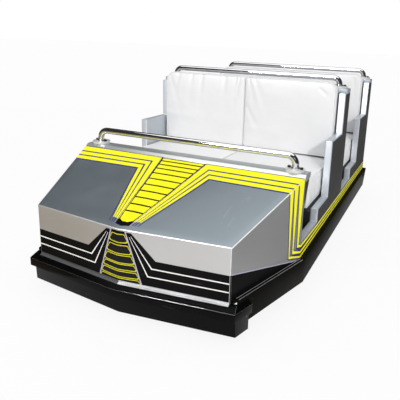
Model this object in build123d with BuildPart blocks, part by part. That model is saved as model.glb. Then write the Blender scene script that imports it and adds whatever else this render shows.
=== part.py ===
"""Two-row fairground ride car with a wedge nose, a wrap-round bumper and a steered front bogie.

Millimetres. +Z is up, the nose points to -Y and +X is the car's left side.
The origin is on the ground, in the middle of the car's length and width.
Lengths are measured backwards from the cowl, where the nose meets the side boards.
"""

import os
from math import hypot

from build123d import *

os.makedirs("parts", exist_ok=True)

# ---------------------------------------------------------------- body, mm
half_width = 680  # over the outer faces of the side boards
floor_height = 185  # top of the floor and foot of the nose face, above the ground
nose_half_width = 530  # at the front corners
nose_length = 540  # front corners to cowl
nose_vee = 60  # how far the middle of the face stands ahead of its corners
face_height = 260  # nose face, up to the crease
hood_height = 440  # rear edge of the hood, above the floor
panel_t = 12  # nose panels, hood, knee board and floor
floor_setback = 12  # the floor ends this far ahead of the side boards' rear ends

# ledge behind the hood and the cheeks under it
ledge_rise = 15  # ledge top above the hood's rear edge
ledge_bevel = 19  # depth of the bevel on its front
ledge_depth = 97
ledge_t = 31
cheek_height = 265  # where the cheek under the ledge runs out, above the floor
post_depth = 14  # side board behind the nose side, below the cheek

# side boards: one profile that repeats for each row
board_t = 45
board_edge_r = 7
sill_height = 95
step_height = 172
arm_height = 520
seatback_height = 778
riser_y = 340  # from the cowl to the riser, the arm's front, the seatback's front and its rear
arm_y = 585
seatback_y = 870
row_end_y = 1022
row_pitch = 998
row_names = ("front", "rear")

# seats
cap_t = 24  # cap board over each seatback
cap_setback = 41
back_panel_t = 18  # the boards of the seat bases and seatbacks
cushion_gap = 1.5  # half the gap between two cushions
seat_side_gap = 13  # between a seat cushion and the side board
back_side_gap = 21
seat_nose_y = 283  # front of the seat cushions
seat_thickness = 172
seat_front_r = 62
back_front_y = 830
back_top = 850
back_corner_r = 60
seat_back_gap = 4

# grab bars: tubes with an arc at each end, on round flanges
tube_r = 18
bend_r = 45
flange_r = 52
flange_t = 16
dash_bar_inset = 72  # flange centre inside the outer face of the side board
dash_bar_rise = 80  # tube centre above the ledge
seat_bar_inset = 65
seat_bar_rise = 66

# skirt along the sides and rear
skirt_out = 26  # outer face, outside the body
skirt_t = 5
skirt_top = 15  # above the floor
skirt_drop = 112  # lower edge below the floor
rear_skirt_lean = 105  # how far the rear skirt's foot is ahead of its top

# bumper round the nose: lip with a bevelled top, over a leaning apron
lip_front = 40
lip_side = 48
lip_top_drop = 20
lip_height = 42
apron_t = 8
apron_top_front = 15
apron_foot_front = 10
apron_side = 34
bumper_drop = 148
bumper_return = 82  # how far the ends run back past the nose corners

# chassis
rail_half = 330
rail_w = 40
rail_h = 60
spine_half = 70
bay_half = 255  # kingpin to the centre of the cross members around it
motor_bay = 420  # rear axle to the cross member ahead of it
rear_cross_setback = 80  # last cross member, and the rails' ends, ahead of the body's end
rail_setback = 60
outrigger_h = 30
outrigger_rows = (0.25, 1, 1.5)  # places behind the cowl, in row pitches
pad_l = 90  # jacking pads under the rails
pad_t = 6
pad_setback = 300  # from the body's two ends
running_gap = 0.3

# wheels
wheel_r = 80
tyre_t = 18
wheel_w = 45
hub_rim_t = 8
hub_boss_r = 22
hub_recess = 16  # on a hub's outer side, between its rim and its boss
axle_r = 15
stub_r = 10
rear_axle_y = 1600
rear_track_half = 450
king_y = -205
front_track_half = 200
kingpin_r = 14
turntable_r = 62
turntable_t = 12
bogie_post_w = 80
beam_h = 36
beam_gap = 10  # between the bogie's beam and the hubs
pin_end_gap = 4  # kingpin's top below the floor, and stub axles past the hubs
bearing_l = 90
bearing_drop = 28  # foot of the bearing blocks below the axle
motor_gap = 90  # rear axle to motor
motor_size = (260, 230, 120)

# ---------------------------------------------------------------- derived places
front_run = hypot(nose_half_width, nose_vee)
side_run = hypot(half_width - nose_half_width, nose_length)
front_normal = (nose_vee / front_run, -nose_half_width / front_run)
side_normal = (nose_length / side_run, -(half_width - nose_half_width) / side_run)
nose_tip = nose_length + nose_vee + lip_front * front_run / nose_half_width
body_end = row_end_y + row_pitch
tail = body_end + skirt_out
cowl_y = (nose_tip - tail) / 2
inner_half = half_width - board_t


def at_y(distance):
    """Y of a place measured backwards from the cowl."""
    return cowl_y + distance


def up(height):
    """Z of a height above the floor panel."""
    return floor_height + height


def nose_corner(front_out, side_out, side=1):
    """Plan corner of the nose, with its face and side moved outwards by these amounts."""
    (a, b), (c, d) = front_normal, side_normal
    det = a * d - b * c
    dx = (front_out * d - side_out * b) / det
    dy = (a * side_out - c * front_out) / det
    return (side * (nose_half_width + dx), at_y(-nose_length + dy))


def nose_apex(front_out):
    """Plan point in the middle of the nose face, moved outwards."""
    return (0, at_y(-nose_length - nose_vee - front_out * front_run / nose_half_width))


def nose_side_point(side_out, distance, side=1):
    """Plan point on the nose side, moved outwards, at a distance behind the cowl."""
    slope = (half_width - nose_half_width) / nose_length
    return (side * (half_width + slope * distance + side_out / side_normal[0]), at_y(distance))


def plan_prism(points, low, high):
    """Upright block with this plan, between two heights above the floor."""
    with BuildPart() as block:
        with BuildSketch(Plane.XY.offset(up(low))):
            with BuildLine():
                Polyline(*points, close=True)
            make_face()
        extrude(amount=high - low)
    return block


def cross_prism(points, x_low, x_high):
    """Block with this profile of (distance, height) pairs, from one x to another."""
    with BuildPart() as block:
        with BuildSketch(Plane.YZ.offset(x_low)):
            with BuildLine():
                Polyline(*[(at_y(y), up(z)) for y, z in points], close=True)
            make_face()
        extrude(amount=x_high - x_low)
    return block


def save(block, label):
    """Names a finished piece and writes it as its own STEP file."""
    block.part.label = label
    export_step(block.part, f"parts/{label}.step")


SIDES = (("left", 1), ("right", -1))

# ---------------------------------------------------------------- nose panels
face_top = face_height - panel_t
nose_face = plan_prism(
    [
        nose_corner(0, 0, -1),
        nose_apex(0),
        nose_corner(0, 0),
        nose_corner(-panel_t, -panel_t),
        nose_apex(-panel_t),
        nose_corner(-panel_t, -panel_t, -1),
    ],
    0,
    face_top,
)
save(nose_face, "nose_face")

for name, side in SIDES:
    corner = (*nose_corner(0, 0, side), up(face_top))
    along = Vector(side * (half_width - nose_half_width), nose_length, hood_height - face_height)
    across = Vector(side * side_normal[0], side_normal[1], 0)
    normal = along.cross(across) * side
    if normal.Z < 0:
        normal = normal * -1
    with BuildPart() as nose_side:
        with BuildSketch(Plane.XY.offset(up(0))):
            with BuildLine():
                Polyline(
                    nose_corner(0, 0, side),
                    nose_side_point(0, 0, side),
                    nose_side_point(-panel_t, 0, side),
                    nose_corner(-panel_t, -panel_t, side),
                    close=True,
                )
            make_face()
        extrude(amount=hood_height)
        split(bisect_by=Plane(origin=corner, x_dir=along, z_dir=normal), keep=Keep.BOTTOM)
    save(nose_side, f"nose_side_{name}")

side_plane = Plane(
    origin=(nose_half_width, at_y(-nose_length), 0),
    x_dir=(half_width - nose_half_width, nose_length, 0),
    z_dir=(*side_normal, 0),
)
with BuildPart() as hood_panel:
    with BuildSketch(Plane.YZ):
        with BuildLine():
            Polyline(
                (nose_apex(0)[1], up(face_height)),
                (at_y(0), up(hood_height)),
                (at_y(0), up(hood_height - panel_t)),
                (nose_apex(0)[1], up(face_top)),
                close=True,
            )
        make_face()
    with BuildSketch(side_plane):
        with BuildLine():
            Polyline(
                (0, up(face_height)),
                (side_run, up(hood_height)),
                (side_run, up(hood_height - panel_t)),
                (0, up(face_top)),
                close=True,
            )
        make_face()
    loft(ruled=True)
    mirror(about=Plane.YZ)
save(hood_panel, "hood_panel")

ledge_low = hood_height + ledge_rise - ledge_t
dash_ledge = cross_prism(
    [
        (0, ledge_low),
        (0, hood_height),
        (ledge_bevel, hood_height + ledge_rise),
        (ledge_depth, hood_height + ledge_rise),
        (ledge_depth, ledge_low),
    ],
    -half_width,
    half_width,
)
save(dash_ledge, "dash_ledge")

# the knee board follows the cheeks' rear edge and runs on down to the floor
cheek_slope = (ledge_depth - post_depth) / (hood_height + ledge_rise - cheek_height)
cheek_top_y = post_depth + cheek_slope * (ledge_low - cheek_height)
knee_foot_y = post_depth - cheek_slope * cheek_height
knee_board = cross_prism(
    [
        (cheek_top_y, ledge_low),
        (cheek_top_y - panel_t, ledge_low),
        (knee_foot_y - panel_t, 0),
        (knee_foot_y, 0),
    ],
    -inner_half,
    inner_half,
)
save(knee_board, "knee_board")

# ---------------------------------------------------------------- floor and side boards
floor_panel = plan_prism(
    [
        nose_corner(-panel_t, 0, -1),
        nose_apex(-panel_t),
        nose_corner(-panel_t, 0),
        nose_side_point(0, 0),
        (half_width, at_y(body_end - floor_setback)),
        (-half_width, at_y(body_end - floor_setback)),
        nose_side_point(0, 0, -1),
    ],
    -panel_t,
    0,
)
save(floor_panel, "floor_panel")

board_profile = [(0, 0), (0, ledge_low), (cheek_top_y, ledge_low), (post_depth, cheek_height)]
board_profile.append((post_depth, sill_height))
for row in range(len(row_names)):
    start = row * row_pitch
    board_profile += [
        (start + riser_y, sill_height),
        (start + riser_y, step_height),
        (start + arm_y, step_height),
        (start + arm_y, arm_height),
        (start + seatback_y, arm_height),
        (start + seatback_y, seatback_height),
        (start + row_end_y, seatback_height),
    ]
    if row < len(row_names) - 1:
        board_profile.append((start + row_end_y, sill_height))
board_profile.append((body_end, 0))



def on_rim(edge):
    """True for the rounded edges: behind the cowl, above the floor and not under the ledge."""
    centre = edge.center()
    return at_y(0) < centre.Y and up(0) < centre.Z != up(ledge_low)


for name, side in SIDES:
    low_x = min(side * inner_half, side * half_width)
    with BuildPart() as side_board:
        with BuildSketch(Plane.YZ.offset(low_x)):
            with BuildLine():
                Polyline(*[(at_y(y), up(z)) for y, z in board_profile], close=True)
            make_face()
        extrude(amount=board_t)
        fillet(side_board.faces().filter_by(Axis.X).edges().filter_by(on_rim), board_edge_r)
    save(side_board, f"side_board_{name}")

# ---------------------------------------------------------------- seats
cap_y = seatback_y + cap_setback
seat_half_width = inner_half - seat_side_gap
back_half_width = inner_half - back_side_gap
for row, row_name in enumerate(row_names):
    start = row * row_pitch
    seat_base = cross_prism(
        [
            (start + riser_y, 0),
            (start + riser_y, step_height - back_panel_t),
            (start + seat_nose_y + back_panel_t, step_height - back_panel_t),
            (start + seat_nose_y + back_panel_t, step_height),
            (start + cap_y, step_height),
            (start + cap_y, step_height - back_panel_t),
            (start + riser_y + back_panel_t, step_height - back_panel_t),
            (start + riser_y + back_panel_t, 0),
        ],
        -inner_half,
        inner_half,
    )
    save(seat_base, f"seat_base_{row_name}")

    with BuildPart() as back_box:
        with BuildSketch(Plane.YZ.offset(-inner_half)):
            with BuildLine():
                Polyline(
                    (at_y(start + cap_y), up(0)),
                    (at_y(start + cap_y), up(seatback_height)),
                    (at_y(start + row_end_y), up(seatback_height)),
                    (at_y(start + row_end_y), up(0)),
                    close=True,
                )
            make_face()
            offset(amount=-back_panel_t, mode=Mode.SUBTRACT)
        extrude(amount=2 * inner_half)
    save(back_box, f"back_box_{row_name}")

    back_cap = cross_prism(
        [
            (start + cap_y, seatback_height),
            (start + cap_y, seatback_height + cap_t),
            (start + row_end_y, seatback_height + cap_t),
            (start + row_end_y, seatback_height),
        ],
        -half_width,
        half_width,
    )
    save(back_cap, f"back_cap_{row_name}")

    seat_top = step_height + seat_thickness
    for name, side in SIDES:
        x_low = min(side * cushion_gap, side * seat_half_width)
        with BuildPart() as seat_cushion:
            with BuildSketch(Plane.YZ.offset(x_low)):
                with BuildLine():
                    Polyline(
                        (at_y(start + seat_nose_y), up(step_height)),
                        (at_y(start + seat_nose_y), up(seat_top)),
                        (at_y(start + cap_y), up(seat_top)),
                        (at_y(start + cap_y), up(step_height)),
                        close=True,
                    )
                make_face()
            extrude(amount=seat_half_width - cushion_gap)
            fillet(seat_cushion.edges().filter_by(Axis.X).sort_by(Axis.Y)[:2].sort_by(Axis.Z)[-1], seat_front_r)
        save(seat_cushion, f"seat_cushion_{row_name}_{name}")

        with BuildPart() as back_cushion:
            with BuildSketch(Plane.XZ.offset(-at_y(start + cap_y))):
                with BuildLine():
                    Polyline(
                        (side * cushion_gap, up(seat_top + seat_back_gap)),
                        (side * back_half_width, up(seat_top + seat_back_gap)),
                        (side * back_half_width, up(back_top)),
                        (side * cushion_gap, up(back_top)),
                        close=True,
                    )
                make_face()
            extrude(amount=cap_y - back_front_y)
            outer_edge = back_cushion.edges().filter_by(Axis.Y).sort_by(Axis.Z)[-2:]
            fillet(outer_edge.sort_by(Axis.X)[-1 if side > 0 else 0], back_corner_r)
        save(back_cushion, f"back_cushion_{row_name}_{name}")

# ---------------------------------------------------------------- grab bars
# distance behind the cowl, height of what it stands on, flange inset, tube centre above that
bars = [((ledge_bevel + ledge_depth) / 2, hood_height + ledge_rise, dash_bar_inset, dash_bar_rise)]
for row in range(len(row_names)):
    bar_y = row * row_pitch + (cap_y + row_end_y) / 2
    bars.append((bar_y, seatback_height + cap_t, seat_bar_inset, seat_bar_rise))

with BuildPart() as grab_bars:
    for bar_y, base, inset, rise in bars:
        half = half_width - inset
        foot = up(base + flange_t)
        with BuildLine(Plane.XZ.offset(-at_y(bar_y))) as bar_path:
            FilletPolyline(
                (-half, foot),
                (-half, up(base + rise)),
                (half, up(base + rise)),
                (half, foot),
                radius=bend_r,
            )
        with BuildSketch(Plane(origin=(-half, at_y(bar_y), foot), z_dir=(0, 0, 1))):
            Circle(tube_r)
        sweep(path=bar_path.line)
save(grab_bars, "grab_bars")

with BuildPart() as bar_flanges:
    for bar_y, base, inset, rise in bars:
        half = half_width - inset
        with BuildSketch(Plane.XY.offset(up(base))):
            with Locations((-half, at_y(bar_y)), (half, at_y(bar_y))):
                Circle(flange_r)
        extrude(amount=flange_t)
save(bar_flanges, "bar_flanges")

# ---------------------------------------------------------------- bumper
def bumper_band(front_in, side_in, front_out, side_out):
    """Plan of a band round the nose, from inner to outer offsets, with its ends cut square."""
    end = -nose_length + bumper_return
    return [
        nose_side_point(side_out, end, -1),
        nose_corner(front_out, side_out, -1),
        nose_apex(front_out),
        nose_corner(front_out, side_out),
        nose_side_point(side_out, end),
        nose_side_point(side_in, end),
        nose_corner(front_in, side_in),
        nose_apex(front_in),
        nose_corner(front_in, side_in, -1),
        nose_side_point(side_in, end, -1),
    ]


side_inner = skirt_out + running_gap
# height, inner front, inner side, outer front, outer side
bumper_levels = [
    (0, -panel_t, side_inner, 0, side_inner + 2),
    (-lip_top_drop, -panel_t, side_inner, lip_front, lip_side),
    (-lip_top_drop - lip_height, -panel_t, side_inner, lip_front, lip_side),
]
apron_levels = [
    (-lip_top_drop - lip_height, apron_top_front - apron_t, side_inner, apron_top_front, apron_side),
    (-bumper_drop, apron_foot_front - apron_t, side_inner, apron_foot_front, apron_side),
]
with BuildPart() as front_bumper:
    for levels in (bumper_levels[:2], bumper_levels[1:], apron_levels):
        for height, *offsets in levels:
            with BuildSketch(Plane.XY.offset(up(height))):
                with BuildLine():
                    Polyline(*bumper_band(*offsets), close=True)
                make_face()
        loft(ruled=True)
save(front_bumper, "front_bumper")

# ---------------------------------------------------------------- skirt
def skirt_strip(inner, outer, low, high, side):
    """Strip along one side, cut to the lean of the rear skirt."""
    with BuildPart() as strip:
        with BuildSketch(Plane.XY.offset(up(low))):
            with BuildLine():
                Polyline(
                    nose_corner(-panel_t, inner, side),
                    nose_corner(-panel_t, outer, side),
                    (side * (half_width + outer), nose_side_point(outer, 0)[1]),
                    (side * (half_width + outer), at_y(tail)),
                    (side * (half_width + inner), at_y(tail)),
                    (side * (half_width + inner), nose_side_point(inner, 0)[1]),
                    close=True,
                )
            make_face()
        extrude(amount=high - low)
        split(bisect_by=rear_cut, keep=Keep.BOTTOM)
    return strip


skirt_web = skirt_out - skirt_t
lean_rate = rear_skirt_lean / (skirt_top + skirt_drop)
rear_cut = Plane(origin=(0, at_y(tail - skirt_t), up(skirt_top)), x_dir=(1, 0, 0), z_dir=(0, 1, -lean_rate))
for name, side in SIDES:
    save(skirt_strip(skirt_web, skirt_out, -skirt_drop, skirt_top, side), f"skirt_{name}")
    save(skirt_strip(0, skirt_web, skirt_top - skirt_t, skirt_top, side), f"skirt_ledge_{name}")

foot_y = tail - rear_skirt_lean
skirt_rear = cross_prism(
    [
        (tail - skirt_t, skirt_top),
        (tail, skirt_top),
        (foot_y, -skirt_drop),
        (foot_y - skirt_t, -skirt_drop),
    ],
    -half_width - skirt_out,
    half_width + skirt_out,
)
save(skirt_rear, "skirt_rear")

# ---------------------------------------------------------------- chassis frame
rail_top = -panel_t
rail_low = rail_top - rail_h
rail_front = king_y - bay_half - rail_w / 2
rail_end = body_end - rail_setback
with BuildPart() as chassis_frame:
    with BuildSketch(Plane.XY.offset(up(rail_low))):
        for x in (-rail_half, rail_half):
            with Locations((x, at_y((rail_front + rail_end) / 2))):
                Rectangle(rail_w, rail_end - rail_front)
        cross_ys = (king_y - bay_half, king_y + bay_half, rear_axle_y - motor_bay)
        for y in (*cross_ys, body_end - rear_cross_setback):
            with Locations((0, at_y(y))):
                Rectangle(2 * rail_half, rail_w)
        with Locations((0, at_y(king_y))):
            Rectangle(2 * spine_half, 2 * bay_half)
            Circle(kingpin_r + running_gap, mode=Mode.SUBTRACT)
    extrude(amount=rail_h)
    with BuildSketch(Plane.XY.offset(up(rail_top - outrigger_h))):
        for share in outrigger_rows:
            for side in (1, -1):
                with Locations((side * (rail_half + half_width + skirt_web) / 2, at_y(share * row_pitch))):
                    Rectangle(half_width + skirt_web - rail_half, rail_w)
    extrude(amount=outrigger_h)
    with BuildSketch(Plane.XY.offset(up(rail_low - pad_t))):
        for y in (pad_setback, body_end - pad_setback):
            with Locations((-rail_half, at_y(y)), (rail_half, at_y(y))):
                Rectangle(rail_w, pad_l)
    extrude(amount=pad_t)
save(chassis_frame, "chassis_frame")

# ---------------------------------------------------------------- running gear
def revolve_x(points, y, centre_x):
    """Ring with this profile of (x, radius) pairs, turned about the axle at this distance."""
    with BuildPart() as ring:
        with BuildSketch(Plane.XZ.offset(-at_y(y))):
            with BuildLine():
                Polyline(*[(centre_x + x, wheel_r + r) for x, r in points], close=True)
            make_face()
        revolve(axis=Axis((0, at_y(y), wheel_r), (1, 0, 0)))
    return ring


half_w = wheel_w / 2
rim_r = wheel_r - tyre_t
tyre_profile = [
    (-half_w, rim_r),
    (-half_w, wheel_r),
    (half_w, wheel_r),
    (half_w, rim_r),
]


def hub_profile(bore, side):
    """Half section of a hub of (x, radius) pairs, recessed on its outer side round a boss."""
    outline = [
        (-half_w, bore),
        (-half_w, rim_r),
        (half_w, rim_r),
        (half_w, rim_r - hub_rim_t),
        (half_w - hub_recess, rim_r - hub_rim_t),
        (half_w - hub_recess, hub_boss_r),
        (half_w, hub_boss_r),
        (half_w, bore),
    ]
    return [(side * x, r) for x, r in outline]


for name, side in SIDES:
    hub = hub_profile(stub_r + running_gap, side)
    save(revolve_x(hub, king_y, side * front_track_half), f"front_hub_{name}")
    save(revolve_x(tyre_profile, king_y, side * front_track_half), f"front_tyre_{name}")

shaft_half = rear_track_half + half_w
with BuildPart() as rear_axle:
    for side in (1, -1):
        with BuildSketch(Plane.XZ.offset(-at_y(rear_axle_y))):
            with BuildLine():
                points = hub_profile(0, side)
                Polyline(*[(side * rear_track_half + x, wheel_r + r) for x, r in points], close=True)
            make_face()
        revolve(axis=Axis((0, at_y(rear_axle_y), wheel_r), (1, 0, 0)))
    with BuildSketch(Plane.YZ.offset(-shaft_half)):
        with Locations((at_y(rear_axle_y), wheel_r)):
            Circle(axle_r)
    extrude(amount=2 * shaft_half)
save(rear_axle, "rear_axle")

with BuildPart() as rear_tyres:
    for side in (1, -1):
        with BuildSketch(Plane.XZ.offset(-at_y(rear_axle_y))):
            with BuildLine():
                Polyline(*[(side * rear_track_half + x, wheel_r + r) for x, r in tyre_profile], close=True)
            make_face()
        revolve(axis=Axis((0, at_y(rear_axle_y), wheel_r), (1, 0, 0)))
save(rear_tyres, "rear_tyres")

bearing_foot = wheel_r - bearing_drop
with BuildPart() as axle_bearings:
    for side in (1, -1):
        with BuildSketch(Plane.YZ.offset(side * rail_half - rail_w / 2)):
            with Locations((at_y(rear_axle_y), (bearing_foot + up(rail_low)) / 2)):
                Rectangle(bearing_l, up(rail_low) - bearing_foot)
            with Locations((at_y(rear_axle_y), wheel_r)):
                Circle(axle_r + running_gap, mode=Mode.SUBTRACT)
        extrude(amount=rail_w)
save(axle_bearings, "axle_bearings")

motor_w, motor_l, motor_h = motor_size
motor_y = rear_axle_y - motor_gap - motor_l / 2
with BuildPart() as drive_motor:
    with BuildSketch(Plane.XY.offset(up(-panel_t - motor_h))):
        with Locations((0, at_y(motor_y))):
            Rectangle(motor_w, motor_l)
    extrude(amount=motor_h)
save(drive_motor, "drive_motor")

beam_half = front_track_half - half_w - beam_gap
stub_half = front_track_half + half_w + pin_end_gap
turntable_top = up(rail_low) - running_gap
with BuildPart() as bogie_frame:
    with BuildSketch(Plane.XY.offset(wheel_r - beam_h / 2)):
        with Locations((0, at_y(king_y))):
            Rectangle(2 * beam_half, beam_h)
    extrude(amount=beam_h)
    with BuildSketch(Plane.XY.offset(turntable_top - turntable_t)):
        with Locations((0, at_y(king_y))):
            Circle(turntable_r)
    extrude(amount=turntable_t)
    with BuildSketch(Plane.XY.offset(wheel_r)):
        with Locations((0, at_y(king_y))):
            Rectangle(bogie_post_w, bogie_post_w)
    extrude(amount=turntable_top - wheel_r)
    with BuildSketch(Plane.XY.offset(wheel_r)):
        with Locations((0, at_y(king_y))):
            Circle(kingpin_r)
    extrude(amount=up(rail_top) - pin_end_gap - wheel_r)
    with BuildSketch(Plane.YZ.offset(-stub_half)):
        with Locations((at_y(king_y), wheel_r)):
            Circle(stub_r)
    extrude(amount=2 * stub_half)
save(bogie_frame, "bogie_frame")
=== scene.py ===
"""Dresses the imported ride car: painted panels, stripes, bars, cushions, bumper and running gear.

The frame is in metres. Sizes here are in the car's own millimetres: x towards the car's left,
distance behind the cowl, and height above the floor panel.
"""

import math

import bmesh
import bpy
from mathutils import Matrix, Vector, noise
from mathutils.bvhtree import BVHTree


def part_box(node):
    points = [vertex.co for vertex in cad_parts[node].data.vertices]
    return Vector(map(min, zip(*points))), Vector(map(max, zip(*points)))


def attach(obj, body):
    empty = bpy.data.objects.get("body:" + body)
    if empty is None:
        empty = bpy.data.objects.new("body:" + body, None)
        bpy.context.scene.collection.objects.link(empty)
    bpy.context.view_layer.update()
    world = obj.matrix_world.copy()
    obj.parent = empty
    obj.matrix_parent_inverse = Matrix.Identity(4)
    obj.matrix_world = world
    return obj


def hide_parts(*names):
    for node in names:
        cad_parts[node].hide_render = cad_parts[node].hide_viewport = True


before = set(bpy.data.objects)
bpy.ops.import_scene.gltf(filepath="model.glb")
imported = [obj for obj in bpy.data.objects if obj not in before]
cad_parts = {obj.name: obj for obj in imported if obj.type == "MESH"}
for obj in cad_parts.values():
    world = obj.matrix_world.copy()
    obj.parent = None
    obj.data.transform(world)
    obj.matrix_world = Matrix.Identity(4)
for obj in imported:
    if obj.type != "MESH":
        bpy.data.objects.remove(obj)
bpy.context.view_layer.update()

# ------------------------------------------------------------------ sizes read from the frame
MM = 0.001
SIDES = (("left", 1), ("right", -1))
ROWS = ("front", "rear")
UP, DOWN = (0, 0, 1), (0, 0, -1)
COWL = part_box("dash_ledge")[0].y
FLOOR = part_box("nose_face")[0].z


def place(x, distance, height):
    """Frame point from car millimetres."""
    return Vector((x * MM, COWL + distance * MM, FLOOR + height * MM))


def to_car(point):
    """Car millimetres from a frame point."""
    return Vector((point.x / MM, (point.y - COWL) / MM, (point.z - FLOOR) / MM))


def low_high(node):
    """Two corners of a CAD node's box, in car millimetres."""
    return [to_car(corner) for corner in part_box(node)]


panel_t = -low_high("floor_panel")[0].z
ledge_low, ledge_high = low_high("dash_ledge")
half_width = ledge_high.x
nose_half = low_high("nose_face")[1].x
nose_length = -low_high("nose_side_left")[0].y
nose_front = -low_high("hood_panel")[0].y
nose_vee = nose_front - nose_length
crease_h = low_high("hood_panel")[0].z + panel_t
hood_rise = low_high("hood_panel")[1].z - crease_h
body_end = low_high("side_board_left")[1].y
row_pitch = low_high("back_cap_rear")[0].y - low_high("back_cap_front")[0].y


# ------------------------------------------------------------------ mesh helpers
def mix(a, b, share):
    """Point or number between two others."""
    if isinstance(a, tuple):
        return tuple(mix(x, y, share) for x, y in zip(a, b))
    return a + (b - a) * share


def linked(name, data):
    """New object in the scene."""
    made = bpy.data.objects.new(name, data)
    bpy.context.scene.collection.objects.link(made)
    return made


def mesh_of(name, bm):
    """Mesh from a bmesh, which it frees."""
    mesh = bpy.data.meshes.new(name)
    bm.to_mesh(mesh)
    bm.free()
    return mesh


def piece_from(name, bm, paints, body="car", slot=None, sharp=35, replaces=()):
    """Finished piece: painted, smooth between sharp edges and attached to its body."""
    bmesh.ops.recalc_face_normals(bm, faces=bm.faces)
    piece = linked(name, mesh_of(name, bm))
    for paint_name in paints.split():
        piece.data.materials.append(paint[paint_name])
    piece.data.shade_smooth()
    piece.data.set_sharp_from_angle(angle=math.radians(sharp))
    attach(piece, body)
    if replaces:
        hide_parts(*replaces)
    return piece


def cad_bmesh(node):
    """Welded copy of a CAD node with its flat faces joined up."""
    bm = bmesh.new()
    bm.from_mesh(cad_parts[node].data)
    bmesh.ops.remove_doubles(bm, verts=bm.verts, dist=1e-5)
    flat = math.radians(0.4)
    bmesh.ops.dissolve_limit(bm, angle_limit=flat, verts=bm.verts, edges=bm.edges)
    for face in bm.faces:
        face.material_index = 0
    return bm


def round_edges(bm, radius, segments=3, pick=lambda edge: True, angle=25):
    """Rounds the edges sharper than an angle that pick chooses; radius in millimetres."""
    limit = math.radians(angle)
    edges = [e for e in bm.edges if len(e.link_faces) == 2 and e.calc_face_angle() > limit and pick(e)]
    if edges:
        shape = {"segments": segments, "profile": 0.5, "affect": "EDGES", "material": -1}
        bmesh.ops.bevel(bm, geom=edges, offset=radius * MM, clamp_overlap=True, **shape)


def softened(name, node, radius, paints, segments=3, pick=lambda edge: True, assign=None, **facts):
    """Piece from a CAD node with its edges rounded; assign chooses each face's paint."""
    bm = cad_bmesh(node)
    round_edges(bm, radius, segments, pick)
    for face in bm.faces if assign else ():
        face.material_index = assign(face)
    return piece_from(name, bm, paints, replaces=(node,), **facts)


def add_rings(bm, rings, material=0, ends=True, wrap=False):
    """Skin over rings of equal length, with faces over its two ends or wrapped round to its start."""
    loops = [[bm.verts.new(p) for p in ring] for ring in rings]
    count = len(loops[0])
    faces = []
    for near, far in zip(loops, loops[1:] + (loops[:1] if wrap else [])):
        for i in range(count):
            j = (i + 1) % count
            faces.append(bm.faces.new((near[i], near[j], far[j], far[i])))
    if ends and not wrap:
        faces += [bm.faces.new(loops[0][::-1]), bm.faces.new(loops[-1])]
    for face in faces:
        face.material_index = material


def circle(centre, side, other, radius, count):
    """Points of a circle between two ways; radius in millimetres."""
    angles = [2 * math.pi * i / count for i in range(count)]
    return [centre + (side * math.cos(a) + other * math.sin(a)) * radius * MM for a in angles]


def across_axis(axis, turn=0.0):
    """Two ways square to an axis, turned round it."""
    side = axis.orthogonal().normalized()
    side.rotate(Matrix.Rotation(turn, 3, axis))
    return side, axis.cross(side)


def add_turned(bm, profile, origin, axis, count=32, material=0):
    """Turned solid from (radius, height) pairs, the first and last on its two ends."""
    axis = Vector(axis).normalized()
    ways = across_axis(axis)
    rings = [circle(origin + axis * height * MM, *ways, radius, count) for radius, height in profile]
    add_rings(bm, rings, material)


def rounded(profile, radius):
    """Profile of (radius, height) pairs with its inner points rounded."""
    made = [profile[0]]
    for a, b, c in zip(*[[Vector(p) for p in profile[i:]] for i in range(3)]):
        reach = min(radius, (a - b).length * 0.45, (c - b).length * 0.45)
        start, end = b + (a - b).normalized() * reach, b + (c - b).normalized() * reach
        for t in (0, 1 / 3, 2 / 3, 1):
            made.append(tuple(start * (1 - t) ** 2 + b * 2 * t * (1 - t) + end * t**2))
    return made + [profile[-1]]


def add_slab(bm, outline, surface, high=0.4, material=0):
    """Thin closed sheet over a surface, from an outline in the surface's own two axes."""
    low, step = 0.4, 60
    flat = bmesh.new()
    flat.faces.new([flat.verts.new((a, b, 0)) for a, b in outline])
    flat.normal_update()
    bmesh.ops.triangulate(flat, faces=flat.faces, ngon_method="EAR_CLIP")
    for axis, normal in enumerate(((1, 0, 0), (0, 1, 0))):
        values = [p[axis] for p in outline]
        count = int((max(values) - min(values)) // step)
        cuts = [mix(min(values), max(values), i / (count + 1)) for i in range(1, count + 1)]
        if axis == 0 and min(values) < 0 < max(values):
            cuts.append(0)
        for at in cuts:
            geom = flat.verts[:] + flat.edges[:] + flat.faces[:]
            bmesh.ops.bisect_plane(flat, geom=geom, plane_co=Vector(normal) * at, plane_no=normal)
    top, bottom = {}, {}
    for vert in flat.verts:
        point, normal = surface(vert.co.x, vert.co.y)
        top[vert] = bm.verts.new(point + normal * high * MM)
        bottom[vert] = bm.verts.new(point - normal * low * MM)
    made = []
    for face in flat.faces:
        made.append(bm.faces.new([top[v] for v in face.verts]))
        made.append(bm.faces.new([bottom[v] for v in reversed(face.verts)]))
    for edge in flat.edges:
        if len(edge.link_faces) == 1:
            a, b = edge.verts
            made.append(bm.faces.new((top[a], top[b], bottom[b], bottom[a])))
    for face in made:
        face.material_index = material
    flat.free()


def band(points, width):
    """Outline of a line of even width along points, with mitred corners."""
    left, right = [], []
    for i, point in enumerate(points):
        here = Vector(point)
        before = (here - Vector(points[i - 1])).normalized() if i else None
        after = (Vector(points[i + 1]) - here).normalized() if i < len(points) - 1 else None
        along = ((before or after) + (after or before)).normalized()
        across = Vector((-along.y, along.x))
        edge_way = before or after
        stretch = 1 / max(0.3, Vector((-edge_way.y, edge_way.x)).dot(across))
        left.append(tuple(here + across * width / 2 * stretch))
        right.append(tuple(here - across * width / 2 * stretch))
    return left + right[::-1]


def mirrored(outline, side):
    """Outline flipped to one side of the car."""
    return [(side * x, y) for x, y in outline]


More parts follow.
